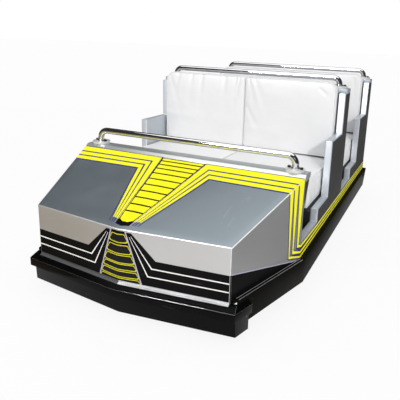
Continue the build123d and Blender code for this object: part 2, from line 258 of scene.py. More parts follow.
# ------------------------------------------------------------------ materials
def add_node(tree, kind, *slots, **settings):
    """Shader node. Slots are its inputs in order, capitalised settings its inputs by name.

    An input is a socket to link, a plain value, or None to leave it alone.
    """
    node = tree.nodes.new("ShaderNode" + kind)
    named = {key.replace("_", " "): value for key, value in settings.items() if key[0].isupper()}
    for key, value in settings.items():
        if not key[0].isupper():
            setattr(node, key, value)
    for key, value in [*enumerate(slots), *named.items()]:
        if isinstance(value, bpy.types.NodeSocket):
            tree.links.new(value, node.inputs[key])
        elif value is not None:
            node.inputs[key].default_value = value
    return node


class Finish:
    """A node material built up from a plain shader by its own small steps.

    Colours are three numbers, or one for a grey. Scales are in cells a metre, depths in millimetres.
    """

    def __init__(self, name, colour, roughness, metallic=0.0, specular=0.5, coat=0.0, coat_roughness=0.1):
        self.material = bpy.data.materials.new(name)
        self.material.use_nodes = True
        self.tree = self.material.node_tree
        self.shader = self.tree.nodes["Principled BSDF"]
        self.colour, self.roughness, self.height = self.rgb(colour), roughness, None
        values = {"Base Color": (*self.colour, 1), "Roughness": roughness, "Metallic": metallic}
        values |= {"Specular IOR Level": specular, "Coat Weight": coat, "Coat Roughness": coat_roughness}
        for key, value in values.items():
            self.shader.inputs[key].default_value = value
        self.place = self.node("TexCoord").outputs["Object"]

    @staticmethod
    def rgb(colour):
        return colour if isinstance(colour, tuple) else (colour,) * 3

    def node(self, kind, *slots, **settings):
        return add_node(self.tree, kind, *slots, **settings)

    def noise(self, scale, detail=3, stretch=(1, 1, 1), rough=0.55):
        """Noise value over the object's own space."""
        at = self.node("Mapping", Vector=self.place, Scale=stretch).outputs["Vector"]
        return self.node("TexNoise", Vector=at, Scale=scale, Detail=detail, Roughness=rough).outputs["Fac"]

    def span(self, value, low, high, to_low=0.0, to_high=1.0):
        """Value stretched from one range to another and clamped."""
        ends = {"From_Min": low, "From_Max": high, "To_Min": to_low, "To_Max": to_high}
        return self.node("MapRange", Value=value, **ends).outputs["Result"]

    def tint(self, mask, colour):
        """Turns the base colour towards another where the mask is 1."""
        base = self.shader.inputs["Base Color"]
        before = base.links[0].from_socket if base.is_linked else (*self.colour, 1)
        after = (*self.rgb(colour), 1)
        mixed = self.node("Mix", mask, *[None] * 5, before, after, data_type="RGBA")
        self.tree.links.new(mixed.outputs[2], base)
        return self

    def patchy(self, mask, patch_scale, detail, low, high, colour):
        """Tints by a mask, in patches."""
        patch = self.span(self.noise(patch_scale, detail), low, high)
        return self.tint(self.node("Math", mask, patch, operation="MULTIPLY").outputs[0], colour)

    def mottle(self, scale, amount, stretch=(1, 1, 1), detail=3):
        """Slow change of brightness over the surface."""
        darker = tuple(c * (1 - amount) for c in self.colour)
        return self.tint(self.span(self.noise(scale, detail, stretch), 0.35, 0.7), darker)

    def uneven_gloss(self, scale, amount):
        """Slow change of roughness over the surface."""
        spread = self.span(self.noise(scale, 4), 0.3, 0.75, self.roughness - amount, self.roughness + amount)
        self.tree.links.new(spread, self.shader.inputs["Roughness"])
        return self

    def bump(self, value, strength, depth):
        """Adds a bump from a value; bumps add up."""
        settings = {"Strength": strength, "Distance": depth * MM, "Height": value, "Normal": self.height}
        self.height = self.node("Bump", **settings).outputs["Normal"]
        self.tree.links.new(self.height, self.shader.inputs["Normal"])
        return self

    def grain(self, scale, strength, depth, detail=2, stretch=(1, 1, 1)):
        """Bump from plain noise."""
        return self.bump(self.noise(scale, detail, stretch), strength, depth)

    def sprayed(self):
        """Metallic flake, tiny cells with their own slight tilt, under the orange peel of sprayed paint."""
        cells = self.node("TexVoronoi", Scale=900, Vector=self.place).outputs["Color"]
        self.bump(self.node("SeparateColor", Color=cells).outputs[0], 0.05, 0.2)
        return self.grain(220, 0.12, 0.3)

    def scratches(self, scale, colour, stretch, amount=0.35, threshold=0.68):
        """Fine straight scratches along the axis that is stretched least."""
        lines = self.noise(scale, 2, stretch, 0.4)
        mask = self.span(lines, threshold, threshold + 0.05, 0.0, amount)
        return self.patchy(mask, 7, 2, 0.5, 0.62, colour)

    def specks(self, scale, colour, size=0.16, amount=0.6):
        """Small chips and dust specks."""
        cells = self.node("TexVoronoi", Scale=scale, Vector=self.place).outputs["Distance"]
        return self.patchy(self.span(cells, size * 0.6, size, amount, 0.0), 9, 3, 0.55, 0.66, colour)


def make_materials():
    """All finishes, by plain names."""
    made = {}

    def new(name, *args, **kwargs):
        made[name] = Finish(name, *args, **kwargs)
        return made[name]

    # grain of the brushed and of the upright and level scratched surfaces
    brushed, upright, level = (0.05, 1, 1), (2, 0.15, 2.6), (0.2, 2, 2.6)

    silver = new("silver_paint", (0.59, 0.585, 0.58), 0.42, metallic=0.78)
    silver.mottle(2.2, 0.06).sprayed().uneven_gloss(3, 0.05).specks(160, (0.7, 0.7, 0.68), amount=0.3)
    # the nose sides' own copy of the silver paint, slightly darker: painted shade
    side = new("nose_side_paint", (0.56, 0.56, 0.565), 0.46, metallic=0.75).mottle(2.6, 0.08)
    side.sprayed().scratches(30, 0.6, (2, 0.12, 2.6), 0.25, 0.62)
    hood = new("hood_paint", (0.29, 0.335, 0.37), 0.36, metallic=0.85).mottle(1.8, 0.08).sprayed()
    hood.uneven_gloss(4, 0.05).scratches(26, (0.42, 0.45, 0.48), (2.4, 0.2, 1), 0.22, 0.64)
    hood.specks(120, (0.08, 0.08, 0.09), 0.12, 0.5)
    # white on the nose shell's rounded side edges: a painted highlight along them
    edge = new("edge_silver", (0.88, 0.88, 0.87), 0.34, specular=0.6)
    edge.mottle(30, 0.12, detail=4).grain(220, 0.12, 0.3)
    # brighter copy of the ledge silver for its bevel, which faces up and forward: painted light
    new("bevel_silver", (0.74, 0.76, 0.77), 0.36, 0.8).mottle(4, 0.06, (0.3, 2, 2)).sprayed()
    ledge = new("ledge_silver", (0.48, 0.51, 0.52), 0.42, 0.6).mottle(4, 0.07, (0.3, 2, 2)).sprayed()
    ledge.specks(140, (0.25, 0.26, 0.27), amount=0.4)
    # bright copy of the board silver for the faces that face forward: painted light
    rim = new("rim_silver", (0.80, 0.845, 0.90), 0.36, 0.6).mottle(6, 0.08).sprayed()
    rim.specks(150, (0.4, 0.41, 0.43), amount=0.4)
    board = new("board_silver", (0.52, 0.56, 0.60), 0.40, 0.5).mottle(6, 0.10).sprayed()
    board.specks(150, (0.3, 0.31, 0.33), amount=0.5)
    # dark copy of the board silver for the boards' outer faces: painted shade
    dark = new("board_grey", (0.060, 0.061, 0.058), 0.5, 0.2, specular=0.12).mottle(2.4, 0.16)
    dark.sprayed().scratches(30, 0.2, upright, 0.25, 0.64)
    back = new("back_panel_grey", (0.20, 0.21, 0.22), 0.45, 0.4).mottle(2.4, 0.12)
    back.sprayed().scratches(30, (0.35, 0.35, 0.36), level, 0.3, 0.64)

    for name, colour, roughness, specular, cells, amount, detail, pores in (
        ("yellow_vinyl", (0.98, 0.93, 0.005), 0.42, 0.2, 18, 0.05, 4, 160),
        # darker olive copy of the yellow vinyl for the ladder on the nose face: partly painted shade of the
        # face, partly the blur of its thin lines with black
        ("yellow_line_vinyl", (0.62, 0.58, 0.015), 0.45, 0.15, 40, 0.12, 3, 160),
        ("violet_vinyl", (0.045, 0.045, 0.19), 0.45, 0.15, 30, 0.2, 3, 160),
        ("lilac_vinyl", (0.46, 0.44, 0.56), 0.42, 0.2, 30, 0.1, 3, 160),
        ("cream_vinyl", (0.90, 0.88, 0.83), 0.40, 0.2, 30, 0.08, 3, 160),
        ("navy_vinyl", (0.003, 0.003, 0.035), 0.36, 0.08, 30, 0.3, 3, 140),
        ("charcoal_vinyl", (0.012, 0.012, 0.011), 0.36, 0.08, 30, 0.3, 3, 140),
    ):
        vinyl = new(name, colour, roughness, specular=specular)
        vinyl.mottle(cells, amount, detail=detail).grain(pores, 0.06, 0.2)
    ink = new("black_vinyl", 0.005, 0.36, specular=0.05).mottle(6, 0.3)
    ink.grain(140, 0.08, 0.25).scratches(30, 0.05, level, 0.3)

    bumper = new("bumper_black", (0.0025, 0.0025, 0.0028), 0.2, specular=0.06).mottle(5, 0.3)
    bumper.grain(12, 0.10, 0.8, 3).uneven_gloss(9, 0.05).scratches(30, 0.06, level, 0.35)
    # bright metal on the black bumper's rounded lip: a painted highlight along the edge
    new("bumper_lip", (0.40, 0.40, 0.42), 0.16, 1.0).mottle(5, 0.3).grain(12, 0.05, 0.5, 3)
    skirt = new("skirt_black", (0.006, 0.0055, 0.004), 0.42, specular=0.02).mottle(4, 0.3)
    skirt.grain(14, 0.10, 0.7, 3).scratches(28, (0.06, 0.055, 0.05), (2, 0.2, 2.6), 0.4)
    for name, colour, roughness, metallic, amount in (
        ("trim_aluminium", (0.78, 0.79, 0.80), 0.26, 0.9, 0.18),
        # darker copy of the trim aluminium for the trim's half on the car's right: painted shade
        ("trim_dull", (0.16, 0.165, 0.17), 0.4, 0.7, 0.2),
    ):
        trim = new(name, colour, roughness, metallic).mottle(60, amount, brushed)
        trim.grain(300, 0.08, 0.2, stretch=(0.02, 1, 1))
    # grey for the strips along the skirt ledges: painted highlights
    new("skirt_edge_painted_highlight", (0.42, 0.43, 0.45), 0.35, 0.3).mottle(60, 0.2).grain(200, 0.06, 0.2)
    new("trim_dark", (0.10, 0.11, 0.12), 0.32, 0.6).mottle(60, 0.2).grain(200, 0.06, 0.2)

    chrome = new("chrome", (0.76, 0.76, 0.77), 0.07, 1.0).mottle(25, 0.05)
    chrome.grain(5, 0.03, 0.5, 1).uneven_gloss(40, 0.02)
    flange = new("flange_white", (0.74, 0.75, 0.76), 0.34, 0.3, coat=0.3).mottle(40, 0.14, detail=4)
    flange.grain(300, 0.15, 0.3).specks(400, 0.3, amount=0.5)
    new("bolt_black", 0.012, 0.32, 0.3).mottle(200, 0.4).grain(600, 0.2, 0.1)
    new("bright_steel", (0.55, 0.55, 0.54), 0.30, 1.0).mottle(60, 0.2, detail=4).grain(300, 0.12, 0.15)
    new("wheel_hub", (0.52, 0.52, 0.53), 0.42, 0.9).mottle(60, 0.2, detail=4).grain(300, 0.2, 0.2, 3)
    new("tyre_rubber", 0.018, 0.72).mottle(40, 0.3, detail=4).grain(260, 0.35, 0.4, 4)
    iron = new("frame_steel", (0.020, 0.020, 0.022), 0.46, coat=0.15, coat_roughness=0.3)
    iron.mottle(10, 0.35).grain(90, 0.2, 0.4, 4).specks(200, (0.10, 0.07, 0.05), 0.14, 0.6)
    new("motor_paint", (0.07, 0.08, 0.09), 0.45).mottle(14, 0.3).grain(90, 0.25, 0.4, 4)
    deck = new("floor_black", 0.014, 0.62).mottle(8, 0.4).grain(420, 0.35, 0.5)
    deck.specks(120, (0.06, 0.055, 0.05), amount=0.5)

    cover = new("white_vinyl", (0.83, 0.83, 0.835), 0.42, coat=0.08, coat_roughness=0.3, specular=0.45)
    cover.mottle(5, 0.03).grain(700, 0.16, 0.25, 3).grain(24, 0.10, 1.2)
    # the piping is a slightly darker copy of the cover's white: painted shade along the seams
    piping = new("vinyl_piping", (0.78, 0.78, 0.785), 0.46, specular=0.45)
    piping.mottle(20, 0.05).grain(700, 0.2, 0.25, 3)
    return {name: finish.material for name, finish in made.items()}


paint = make_materials()


# ------------------------------------------------------------------ surfaces of the nose and boards
def on_hood(share, back):
    """Point of the hood: share runs from the middle to a side, back from the crease to the cowl."""
    reach = (nose_half + (half_width - nose_half) * back) * share
    distance = (1 - back) * (-nose_front + nose_vee * abs(share))
    return Vector((reach, distance, crease_h + hood_rise * back))


def hood_surface(x, distance):
    """Point and normal of the hood above a place in plan."""
    back = 1 + distance / nose_front
    for _ in range(12):
        share = x / (nose_half + (half_width - nose_half) * back)
        back = 1 + distance / (nose_front - nose_vee * abs(share))
    way = 1 if share >= 0 else -1
    here = on_hood(share, back)
    along = on_hood(share, back + 0.01) - here
    across = (on_hood(share + 0.01 * way, back) - here) * way
    return place(x, distance, crease_h + hood_rise * back), across.cross(along).normalized()


def side_surface(side):
    """Surface of one nose side, in (distance, height)."""
    slope = (half_width - nose_half) / nose_length
    normal = Vector((side, -slope, 0)).normalized()
    return lambda distance, height: (place(side * (half_width + slope * distance), distance, height), normal)


def face_surface(x, height):
    """Point and normal of the nose face."""
    slope = nose_vee / nose_half
    lean = 0 if abs(x) < 0.01 else math.copysign(slope, x)
    return place(x, slope * abs(x) - nose_front, height), Vector((lean, -1, 0)).normalized()


def board_surface(side):
    """Outer face of a side board, in (distance, height)."""
    return lambda distance, height: (place(side * half_width, distance, height), Vector((side, 0, 0)))


# ------------------------------------------------------------------ nose shell
NOSE_ROUND = 4
EDGE_GAP = NOSE_ROUND + 0.5
NOSE_STEPS = 14
# border of the black field on each half of the face, from the corner to the ladder: (x, height)
FACE_BLACK = ((524, 133), (185, 135), (67, 249))
BLACK_TOP = FACE_BLACK[0][1] + 1.5
# the yellow bands wrap over the hood's side edges down to here
BAND_FOOT = -130
HOOD, FACE, SIDE, EDGE, INSIDE, BLACK, YELLOW = range(7)
NOSE_PAINTS = "hood_paint silver_paint nose_side_paint edge_silver frame_steel black_vinyl yellow_vinyl"


def nose_paint(face):
    """Paint of a face of the skin, by where it is and which way it faces."""
    spot, across, up = to_car(face.calc_center_median()), abs(face.normal.x), face.normal.z
    if up > 0.9:
        return HOOD
    if spot.z < BLACK_TOP and 0.3 < across < 0.93:
        return BLACK
    if abs(up) < 0.02 and across > 0.6:
        return SIDE
    if across < 0.3:
        return FACE
    # rounded edges outside the yellow bands take the white of a painted highlight
    return YELLOW if up > 0.1 and spot.y > BAND_FOOT else EDGE


def build_nose():
    """Skin of the nose with rounded corners, thickened inwards."""
    bm = bmesh.new()
    shares = [i / NOSE_STEPS for i in range(-NOSE_STEPS, NOSE_STEPS + 1)]
    backs = [i / NOSE_STEPS for i in range(NOSE_STEPS + 1)]
    heights = [BLACK_TOP * i / 3 for i in range(4)] + [mix(BLACK_TOP, crease_h, i / 3) for i in range(1, 4)]
    grids = [[[on_hood(s, b) for s in shares] for b in backs]]
    grids.append([[(*on_hood(s, 0).xy, h) for s in shares] for h in heights])
    for side in (1, -1):
        edge = [on_hood(side, b) for b in backs]
        grids.append([[(p.x, p.y, p.z * h / crease_h) for p in edge] for h in heights])
    for rows in grids:
        lines = [[bm.verts.new(place(*p)) for p in row] for row in rows]
        for low, high in zip(lines, lines[1:]):
            for i in range(len(low) - 1):
                bm.faces.new((low[i], low[i + 1], high[i + 1], high[i]))
    bmesh.ops.remove_doubles(bm, verts=bm.verts, dist=1e-5)
    bmesh.ops.recalc_face_normals(bm, faces=bm.faces)
    if sum(face.normal.z for face in bm.faces) < 0:
        bmesh.ops.reverse_faces(bm, faces=bm.faces)
    round_edges(bm, NOSE_ROUND, 4, angle=20)
    skin, inner = bm.faces[:], {}
    for face in skin:
        face.material_index = nose_paint(face)
    for vert in bm.verts[:]:
        inner[vert] = bm.verts.new(vert.co - vert.normal * panel_t * MM * 0.8)
    for face in skin:
        bm.faces.new([inner[v] for v in reversed(face.verts)]).material_index = INSIDE
    for edge in [e for e in bm.edges if len(e.link_faces) == 1 and e.verts[0] in inner]:
        a, b = edge.verts
        if edge.link_loops[0].vert == a:
            a, b = b, a
        bm.faces.new((a, b, inner[b], inner[a])).material_index = INSIDE
    panels = ("hood_panel", "nose_face", "nose_side_left", "nose_side_right")
    piece_from("nose_shell", bm, NOSE_PAINTS, slot="silver_panel", replaces=panels, sharp=40)


def on_bevel(face):
    """1 on the ledge's bevel, which takes a brighter copy of the ledge silver as painted light; else 0."""
    return int(face.normal.y < -0.2 and face.normal.z > 0.2)


build_nose()
softened("cowl_ledge", "dash_ledge", 3, "ledge_silver bevel_silver", assign=on_bevel, slot="ledge_silver")
softened("knee_panel", "knee_board", 2, "board_silver", slot="board_silver")

# ------------------------------------------------------------------ stripes of the hood
# how far each layer of sheets stands out
GROUND_TOP, YELLOW_TOP, LINE_TOP = 0.5, 0.9, 1.2
# outer edge: distance and mitre x; inner edge: distance and mitre x; outer and inner tip x; tip distance
HOOD_BANDS = (
    (-3, 136, -53, 175, 41, 51, -535),
    (-53, 175, -93, 197, 52, 62, -531),
    (-93, 197, -130, 217, 64, 76, -529),
)
# violet lines: distance along the ledge, mitre x, tip x, tip distance, width along the ledge
HOOD_LINES = (
    (-3, 136, 41, -566, 5),
    (-53, 175, 50, -560, 10),
    (-93, 197, 62, -558, 10),
    (-131, 217, 78, -556, 8),
)
SLANT_HALF = 3.6
TRAPEZOID = ((133, -8), (38, -566))
TRAPEZOID_TIP = (0, -577)
CHEVRON = ((41, -531), (14, -546))
RUNGS = (-34, -69, -107, -152, -203, -256, -310, -364, -418, -472)
RUNG_HALF = 5
EDGE_LINE = 6


def hood_edge_x(distance):
    """Half width of the hood's flat part at this distance."""
    return half_width + (half_width - nose_half) / nose_length * distance - EDGE_GAP


def rung_x(distance):
    """Half width of the yellow between the trapezoid's edge lines at this distance."""
    (wide, back), (narrow, front) = TRAPEZOID
    return mix(wide, narrow, (distance - back) / (front - back)) - EDGE_LINE


def build_hood_stripes():
    """Yellow bands with violet lines, and the ribbed trapezoid between them."""
    bm = bmesh.new()
    for _, side in SIDES:
        for outer, outer_x, inner, inner_x, outer_tip, inner_tip, tip in HOOD_BANDS:
            outline = [(outer_x, outer), (hood_edge_x(outer), outer), (hood_edge_x(inner), inner)]
            outline += [(inner_x, inner), (inner_tip, tip), (outer_tip, tip)]
            add_slab(bm, mirrored(outline, side), hood_surface, YELLOW_TOP)
        for distance, mitre, tip_x, tip, width in HOOD_LINES:
            near, far = distance - width / 2, distance + width / 2
            outline = [(hood_edge_x(far), far), (hood_edge_x(near), near), (mitre + SLANT_HALF, near)]
            outline += [(tip_x + 1, tip), (tip_x - 1, tip), (mitre - SLANT_HALF, far)]
            add_slab(bm, mirrored(outline, side), hood_surface, LINE_TOP, 1)
    (wide, back), (narrow, front) = TRAPEZOID
    black = [(-wide, back), (wide, back), (narrow, front), TRAPEZOID_TIP, (-narrow, front)]
    add_slab(bm, black, hood_surface, GROUND_TOP, 2)
    lows = [back - 3] + [rung - RUNG_HALF for rung in RUNGS]
    for low, rung in zip(lows, RUNGS):
        high = rung + RUNG_HALF
        outline = [(-rung_x(low), low), (rung_x(low), low), (rung_x(high), high), (-rung_x(high), high)]
        add_slab(bm, outline, hood_surface, YELLOW_TOP)
    (chevron_x, chevron_y), tip = CHEVRON
    end = rung_x(lows[-1]), lows[-1]
    foot = [(chevron_x - EDGE_LINE, chevron_y), tip]
    outline = [(-end[0], end[1]), end, *foot, *mirrored(foot[::-1], -1)]
    add_slab(bm, outline, hood_surface, YELLOW_TOP)
    for side in (1, -1):
        line = [(side * (wide + 3), back + 2), (side * (narrow + 3), front)]
        add_slab(bm, band(line, 4), hood_surface, LINE_TOP, 3)
    names = "yellow_vinyl violet_vinyl black_vinyl lilac_vinyl"
    piece_from("hood_stripes", bm, names, slot="hood_paint", sharp=20)


build_hood_stripes()

# ------------------------------------------------------------------ stripes of the nose sides and boards
# bands down each nose side: front and rear distance at the hood, front and rear corner (distance, height)
SIDE_BANDS = (
    (-131, -98, (-108, 48), (-97, 63)),
    (-94, -57, (-77, 63), (-64, 81)),
    (-52, -4, (-36, 83), (-20, 99)),
)
ARM_FEET, ARM_TOPS = (18, 43, 78), (31, 57, 92)
# dark gaps between the arms: start (distance, height) and heights at the cowl
ARM_GAPS = (((-76, 57), (31, 43)), ((-50, 83), (57, 78)))
# black wedge below the bands: height at its front, and its rear end (distance, height)
WEDGE_FRONT, WEDGE_END = 134, (-30, 12)
# board stripes: lower and upper edge at the cowl, from the first riser on, and at the rear end
BOARD_STRIPES = ((17, 31, 21, 33, 27, 37), (43, 57, 45, 57, 49, 59), (76, 92, 69, 82, 71, 81))
BOARD_SPOTS = (0, low_high("seat_base_front")[0].y + 39, body_end - 1)


def hood_edge_height(distance):
    """Height of the side's flat part under the hood's edge at this distance."""
    return crease_h + hood_rise * (1 + distance / nose_length) - EDGE_GAP


def build_side_stripes(name, side):
    """Bands of one nose side, running on along the board to the car's tail."""
    bm = bmesh.new()
    surface, flank = side_surface(side), board_surface(side)
    corner, (end, end_h) = NOSE_ROUND + 1 - nose_length, WEDGE_END
    add_slab(bm, [(corner, 0), (corner, WEDGE_FRONT), WEDGE_END, (end, 0)], surface, GROUND_TOP, 2)
    border = [(corner, WEDGE_FRONT + 2), (end - 2, end_h + 2)]
    add_slab(bm, band(border, 4), surface, LINE_TOP, 4)
    for (front, rear, foot, inner), low, high in zip(SIDE_BANDS, ARM_FEET, ARM_TOPS):
        outer_line = [(front, hood_edge_height(front)), foot, (0, low)]
        inner_line = [(rear, hood_edge_height(rear)), inner, (0, high)]
        add_slab(bm, outer_line + inner_line[::-1], surface, YELLOW_TOP)
        for line in (outer_line, inner_line):
            add_slab(bm, band(line, 4.5), surface, LINE_TOP, 1)
    for (x, height), (low, high) in ARM_GAPS:
        outline = [(x + 2, height), (0, low), (0, high), (x + 18, height + 4)]
        add_slab(bm, outline, surface, GROUND_TOP, 3)
    for under, over in zip(BOARD_STRIPES, BOARD_STRIPES[1:]):
        outline = [*zip(BOARD_SPOTS, under[1::2])] + [*zip(BOARD_SPOTS, over[0::2])][::-1]
        add_slab(bm, outline, flank, GROUND_TOP, 5)
    for stripe in BOARD_STRIPES:
        foot, top = ([*zip(BOARD_SPOTS, stripe[i::2])] for i in (0, 1))
        add_slab(bm, foot + top[::-1], flank, YELLOW_TOP)
    add_slab(bm, band([(x, height + 2) for x, height in top], 4), flank, LINE_TOP, 1)
    names = "yellow_vinyl violet_vinyl black_vinyl trim_dark lilac_vinyl navy_vinyl"
    piece_from(f"flank_stripes_{name}", bm, names, slot="board_silver", sharp=20)


for name, side in SIDES:
    build_side_stripes(name, side)

# ------------------------------------------------------------------ graphics of the nose face
PINSTRIPES = (((523, 95), (165, 96), (66, 234)), ((523, 55), (146, 55), (57, 231)))
PIN_HALF = 2.75
# half width and height of the ladder's top and foot, then the heights of each cell's top and foot
LADDER = ((38, 252), (116, 6))
CELLS = ((235, 206), (182, 152), (133, 107), (90, 74), (55, 38), (20, 10))
CELL_SAG = 5
CELL_INSET = 11
# layers of a cell: how far each grows, its corner radius, its top over the yellow's and its paint
CELL_LAYERS = ((7.5, 10, -0.2, 3), (3, 8, 0.1, 4), (1, 7, 0.4, 5))


def ladder_x(height):
    """Half width of the ladder at this height."""
    (narrow, top), (wide, foot) = LADDER
    return mix(narrow, wide, (top - height) / (top - foot))


def cell_outline(low, high, grow, corner):
    """Rounded cell across the ladder whose top and foot sag in the middle."""
    low, high = low - grow, high + grow
    radius = min(corner, (high - low) / 2 - 0.3)
    points = []
    for side, height, start in ((1, low, -90), (1, high, 0), (-1, high, 90), (-1, low, 180)):
        centre_x = side * (ladder_x(height) - CELL_INSET + grow - radius)
        centre_y = height + (radius if height == low else -radius)
        for angle in (math.radians(start + 18 * i) for i in range(6)):
            points.append((centre_x + radius * math.cos(angle), centre_y + radius * math.sin(angle)))
    sagged = []
    for point, follower in zip(points, points[1:] + points[:1]):
        sagged.append(point)
        if abs(follower[0] - point[0]) > 20:
            sagged += [mix(point, follower, k / 6) for k in range(1, 6)]
    reach = max(x for x, _ in sagged)
    return [(x, y - CELL_SAG * (1 - (x / reach) ** 2)) for x, y in sagged]


def build_face_graphics():
    """Black lower field with cream pinstripes and the ladder in the middle."""
    bm = bmesh.new()
    corner = nose_half - EDGE_GAP
    (_, edge_h), knee, peak = FACE_BLACK
    (narrow, top), (wide, foot) = LADDER
    for side in (1, -1):
        black = [(corner, 0), (corner, edge_h), knee, peak]
        black += [(ladder_x(height) - 2, height) for height in (peak[1], 0)]
        add_slab(bm, mirrored(black, side), face_surface, GROUND_TOP)
        for (end_x, end_h), (bend_x, bend_h), (tip_x, tip_h) in PINSTRIPES:
            outline = [(end_x, end_h + PIN_HALF), (bend_x + 2.2, bend_h + PIN_HALF), (tip_x + 0.8, tip_h)]
            outline += [(tip_x - 0.8, tip_h), (bend_x - 1.6, bend_h - PIN_HALF), (end_x, end_h - PIN_HALF)]
            outline += [(end_x + 2, end_h - 1.6), (end_x + 2, end_h + 1.6)]
            add_slab(bm, mirrored(outline, side), face_surface, YELLOW_TOP, 1)
        line = [(side * narrow, top), (side * wide, foot)]
        add_slab(bm, band(line, 6), face_surface, LINE_TOP, 2)
    ground = [(-wide, foot - 6), (wide, foot - 6), (narrow, top), (-narrow, top)]
    add_slab(bm, ground, face_surface, GROUND_TOP + 0.1)
    for high, low in CELLS:
        for grow, round_r, rise, layer_paint in CELL_LAYERS:
            outline = cell_outline(low, high, grow, round_r)
            add_slab(bm, outline, face_surface, YELLOW_TOP + rise, layer_paint)
    names = "black_vinyl cream_vinyl lilac_vinyl yellow_line_vinyl navy_vinyl charcoal_vinyl"
    piece_from("face_graphics", bm, names, slot="silver_panel", sharp=20)


build_face_graphics()

# ------------------------------------------------------------------ side boards, caps and boxes
for name, side in SIDES:

    def board_paint(face, side=side):
        """Painted shade on the outer face and painted light on what faces forward, as dark and bright copies
        of the board silver; silver elsewhere.
        """
        return 1 if face.normal.x * side > 0.98 else 2 * (face.normal.y < -0.6)

    softened(
        f"flank_board_{name}",
        f"side_board_{name}",
        2,
        "board_silver board_grey rim_silver",
        pick=lambda edge: edge.calc_face_angle() > math.radians(60),
        assign=board_paint,
        slot="board_silver",
    )


def faces_back(face):
    """1 on a face towards the tail, else 0."""
    return int(face.normal.y > 0.9)


for row in ROWS:
    softened(f"seatback_cap_{row}", f"back_cap_{row}", 3, "board_silver board_grey", assign=faces_back)
    softened(f"seatback_box_{row}", f"back_box_{row}", 2, "back_panel_grey")
    # the seat bases take the floor deck's black as painted shade below the cushion fronts
    softened(f"seat_board_{row}", f"seat_base_{row}", 2, "floor_black")

# ------------------------------------------------------------------ grab bars
TUBE_R = 18
BEND_R = 45
FLANGE_R = 52
FLANGE_T = 16
FLANGE_BOLT_AT = 36
FLANGE_BOLT_TURN = -12
COLLAR = ((24, FLANGE_T - 2), (24, FLANGE_T + 7), (TUBE_R - 0.5, FLANGE_T + 9))
PUCK = ((FLANGE_R * 0.6, 0), (FLANGE_R - 1, 0), (FLANGE_R, FLANGE_T), (20, FLANGE_T))
SCREW_R = 8.5
SCREW_H = 9
# name, distance, base height, half length and rise
BARS = [("dash", (ledge_low.y + 19 + ledge_high.y) / 2, ledge_high.z, half_width - 72, 80)]
for row in ROWS:
    cap_low, cap_high = low_high(f"back_cap_{row}")
    BARS.append((row, (cap_low.y + cap_high.y) / 2, cap_high.z, half_width - 65, 66))


def tube_path(points, radius):
    """Points along a path in metres with its corners rounded to a radius in millimetres."""
    path = [points[0]]
    for before, corner, after in zip(points, points[1:], points[2:]):
        inward = (before - corner).normalized()
        outward = (after - corner).normalized()
        half = inward.angle(outward) / 2
        reach = radius * MM / math.tan(half)
        centre = corner + (inward + outward).normalized() * radius * MM / math.sin(half)
        start = corner + inward * reach - centre
        turn = math.pi - 2 * half
        axis = start.cross(corner + outward * reach - centre).normalized()
        count = max(3, round(math.degrees(turn) / 7.5))
        path += [centre + Matrix.Rotation(turn * i / count, 3, axis) @ start for i in range(count + 1)]
    return path + [points[-1]]


def add_tube(bm, path, radius):
    """Round tube along points in metres; radius in millimetres."""
    rings = []
    for i, point in enumerate(path):
        before = (point - path[i - 1]).normalized() if i else (path[1] - point).normalized()
        after = (path[i + 1] - point).normalized() if i < len(path) - 1 else before
        side = Vector((0, 1, 0))
        other = (before + after).cross(side).normalized()
        rings.append(circle(point, side, other, radius, 32))
    add_rings(bm, rings)


def add_cap_screw(bm, origin, turn):
    """Upright screw: rounded head with a six-sided recess."""
    axis = Vector(UP)
    ways = across_axis(axis, turn)
    head = rounded([(SCREW_R, 0), (SCREW_R, SCREW_H), (SCREW_R * 0.62, SCREW_H)], 0.9)
    count = 24
    rings = [circle(origin + axis * height * MM, *ways, radius, count) for radius, height in head]
    sixth = math.pi / 3
    for radius, height in ((SCREW_R * 0.58, SCREW_H), (SCREW_R * 0.56, SCREW_H * 0.45)):
        centre = origin + axis * height * MM
        ring = []
        for i, point in enumerate(circle(centre, *ways, radius, count)):
            around = (2 * math.pi * i / count + sixth / 2) % sixth - sixth / 2
            ring.append(centre + (point - centre) * math.cos(sixth / 2) / math.cos(around))
        rings.append(ring)
    add_rings(bm, rings, 1)


def build_bars():
    """Chrome rails on round flanges, each flange held by two cap screws."""
    for name, distance, base, half, rise in BARS:
        rail, flanges = bmesh.new(), bmesh.new()
        corners = [(-half, base + 8), (-half, base + rise), (half, base + rise), (half, base + 8)]
        add_tube(rail, tube_path([place(x, distance, z) for x, z in corners], BEND_R), TUBE_R)
        for side in (1, -1):
            foot = place(side * half, distance, base)
            add_turned(rail, rounded(COLLAR, 2.5), foot, UP, 36)
            add_turned(flanges, rounded(PUCK, 2.5), foot, UP, 56)
            for i in range(2):
                angle = math.radians(FLANGE_BOLT_TURN + 180 * i)
                out = Vector((math.cos(angle), math.sin(angle), 0)) * FLANGE_BOLT_AT
                add_cap_screw(flanges, foot + (out + Vector((0, 0, FLANGE_T))) * MM, i)
        first = name == "dash"
        piece_from(f"grab_rail_{name}", rail, "chrome", slot="chrome", replaces=("grab_bars",) * first)
        names = "flange_white bolt_black"
        piece_from(f"rail_flanges_{name}", flanges, names, replaces=("bar_flanges",) * first)


build_bars()

# ------------------------------------------------------------------ bumper, foot trim and skirt
LIP_FOOT = -30
LIP_MAX_AREA = 2e-3
TRIM_SECTION = ((0.3, 9), (1.8, 9), (1.8, 1.2), (13, -4.3), (12.6, -5.8), (0.3, 0.4))
# painted highlight strips on the skirt ledges: how far out from the nose side, and where they end
HIGHLIGHT_OUTS = (6, 21)
HIGHLIGHT_ENDS = (-505, -3)


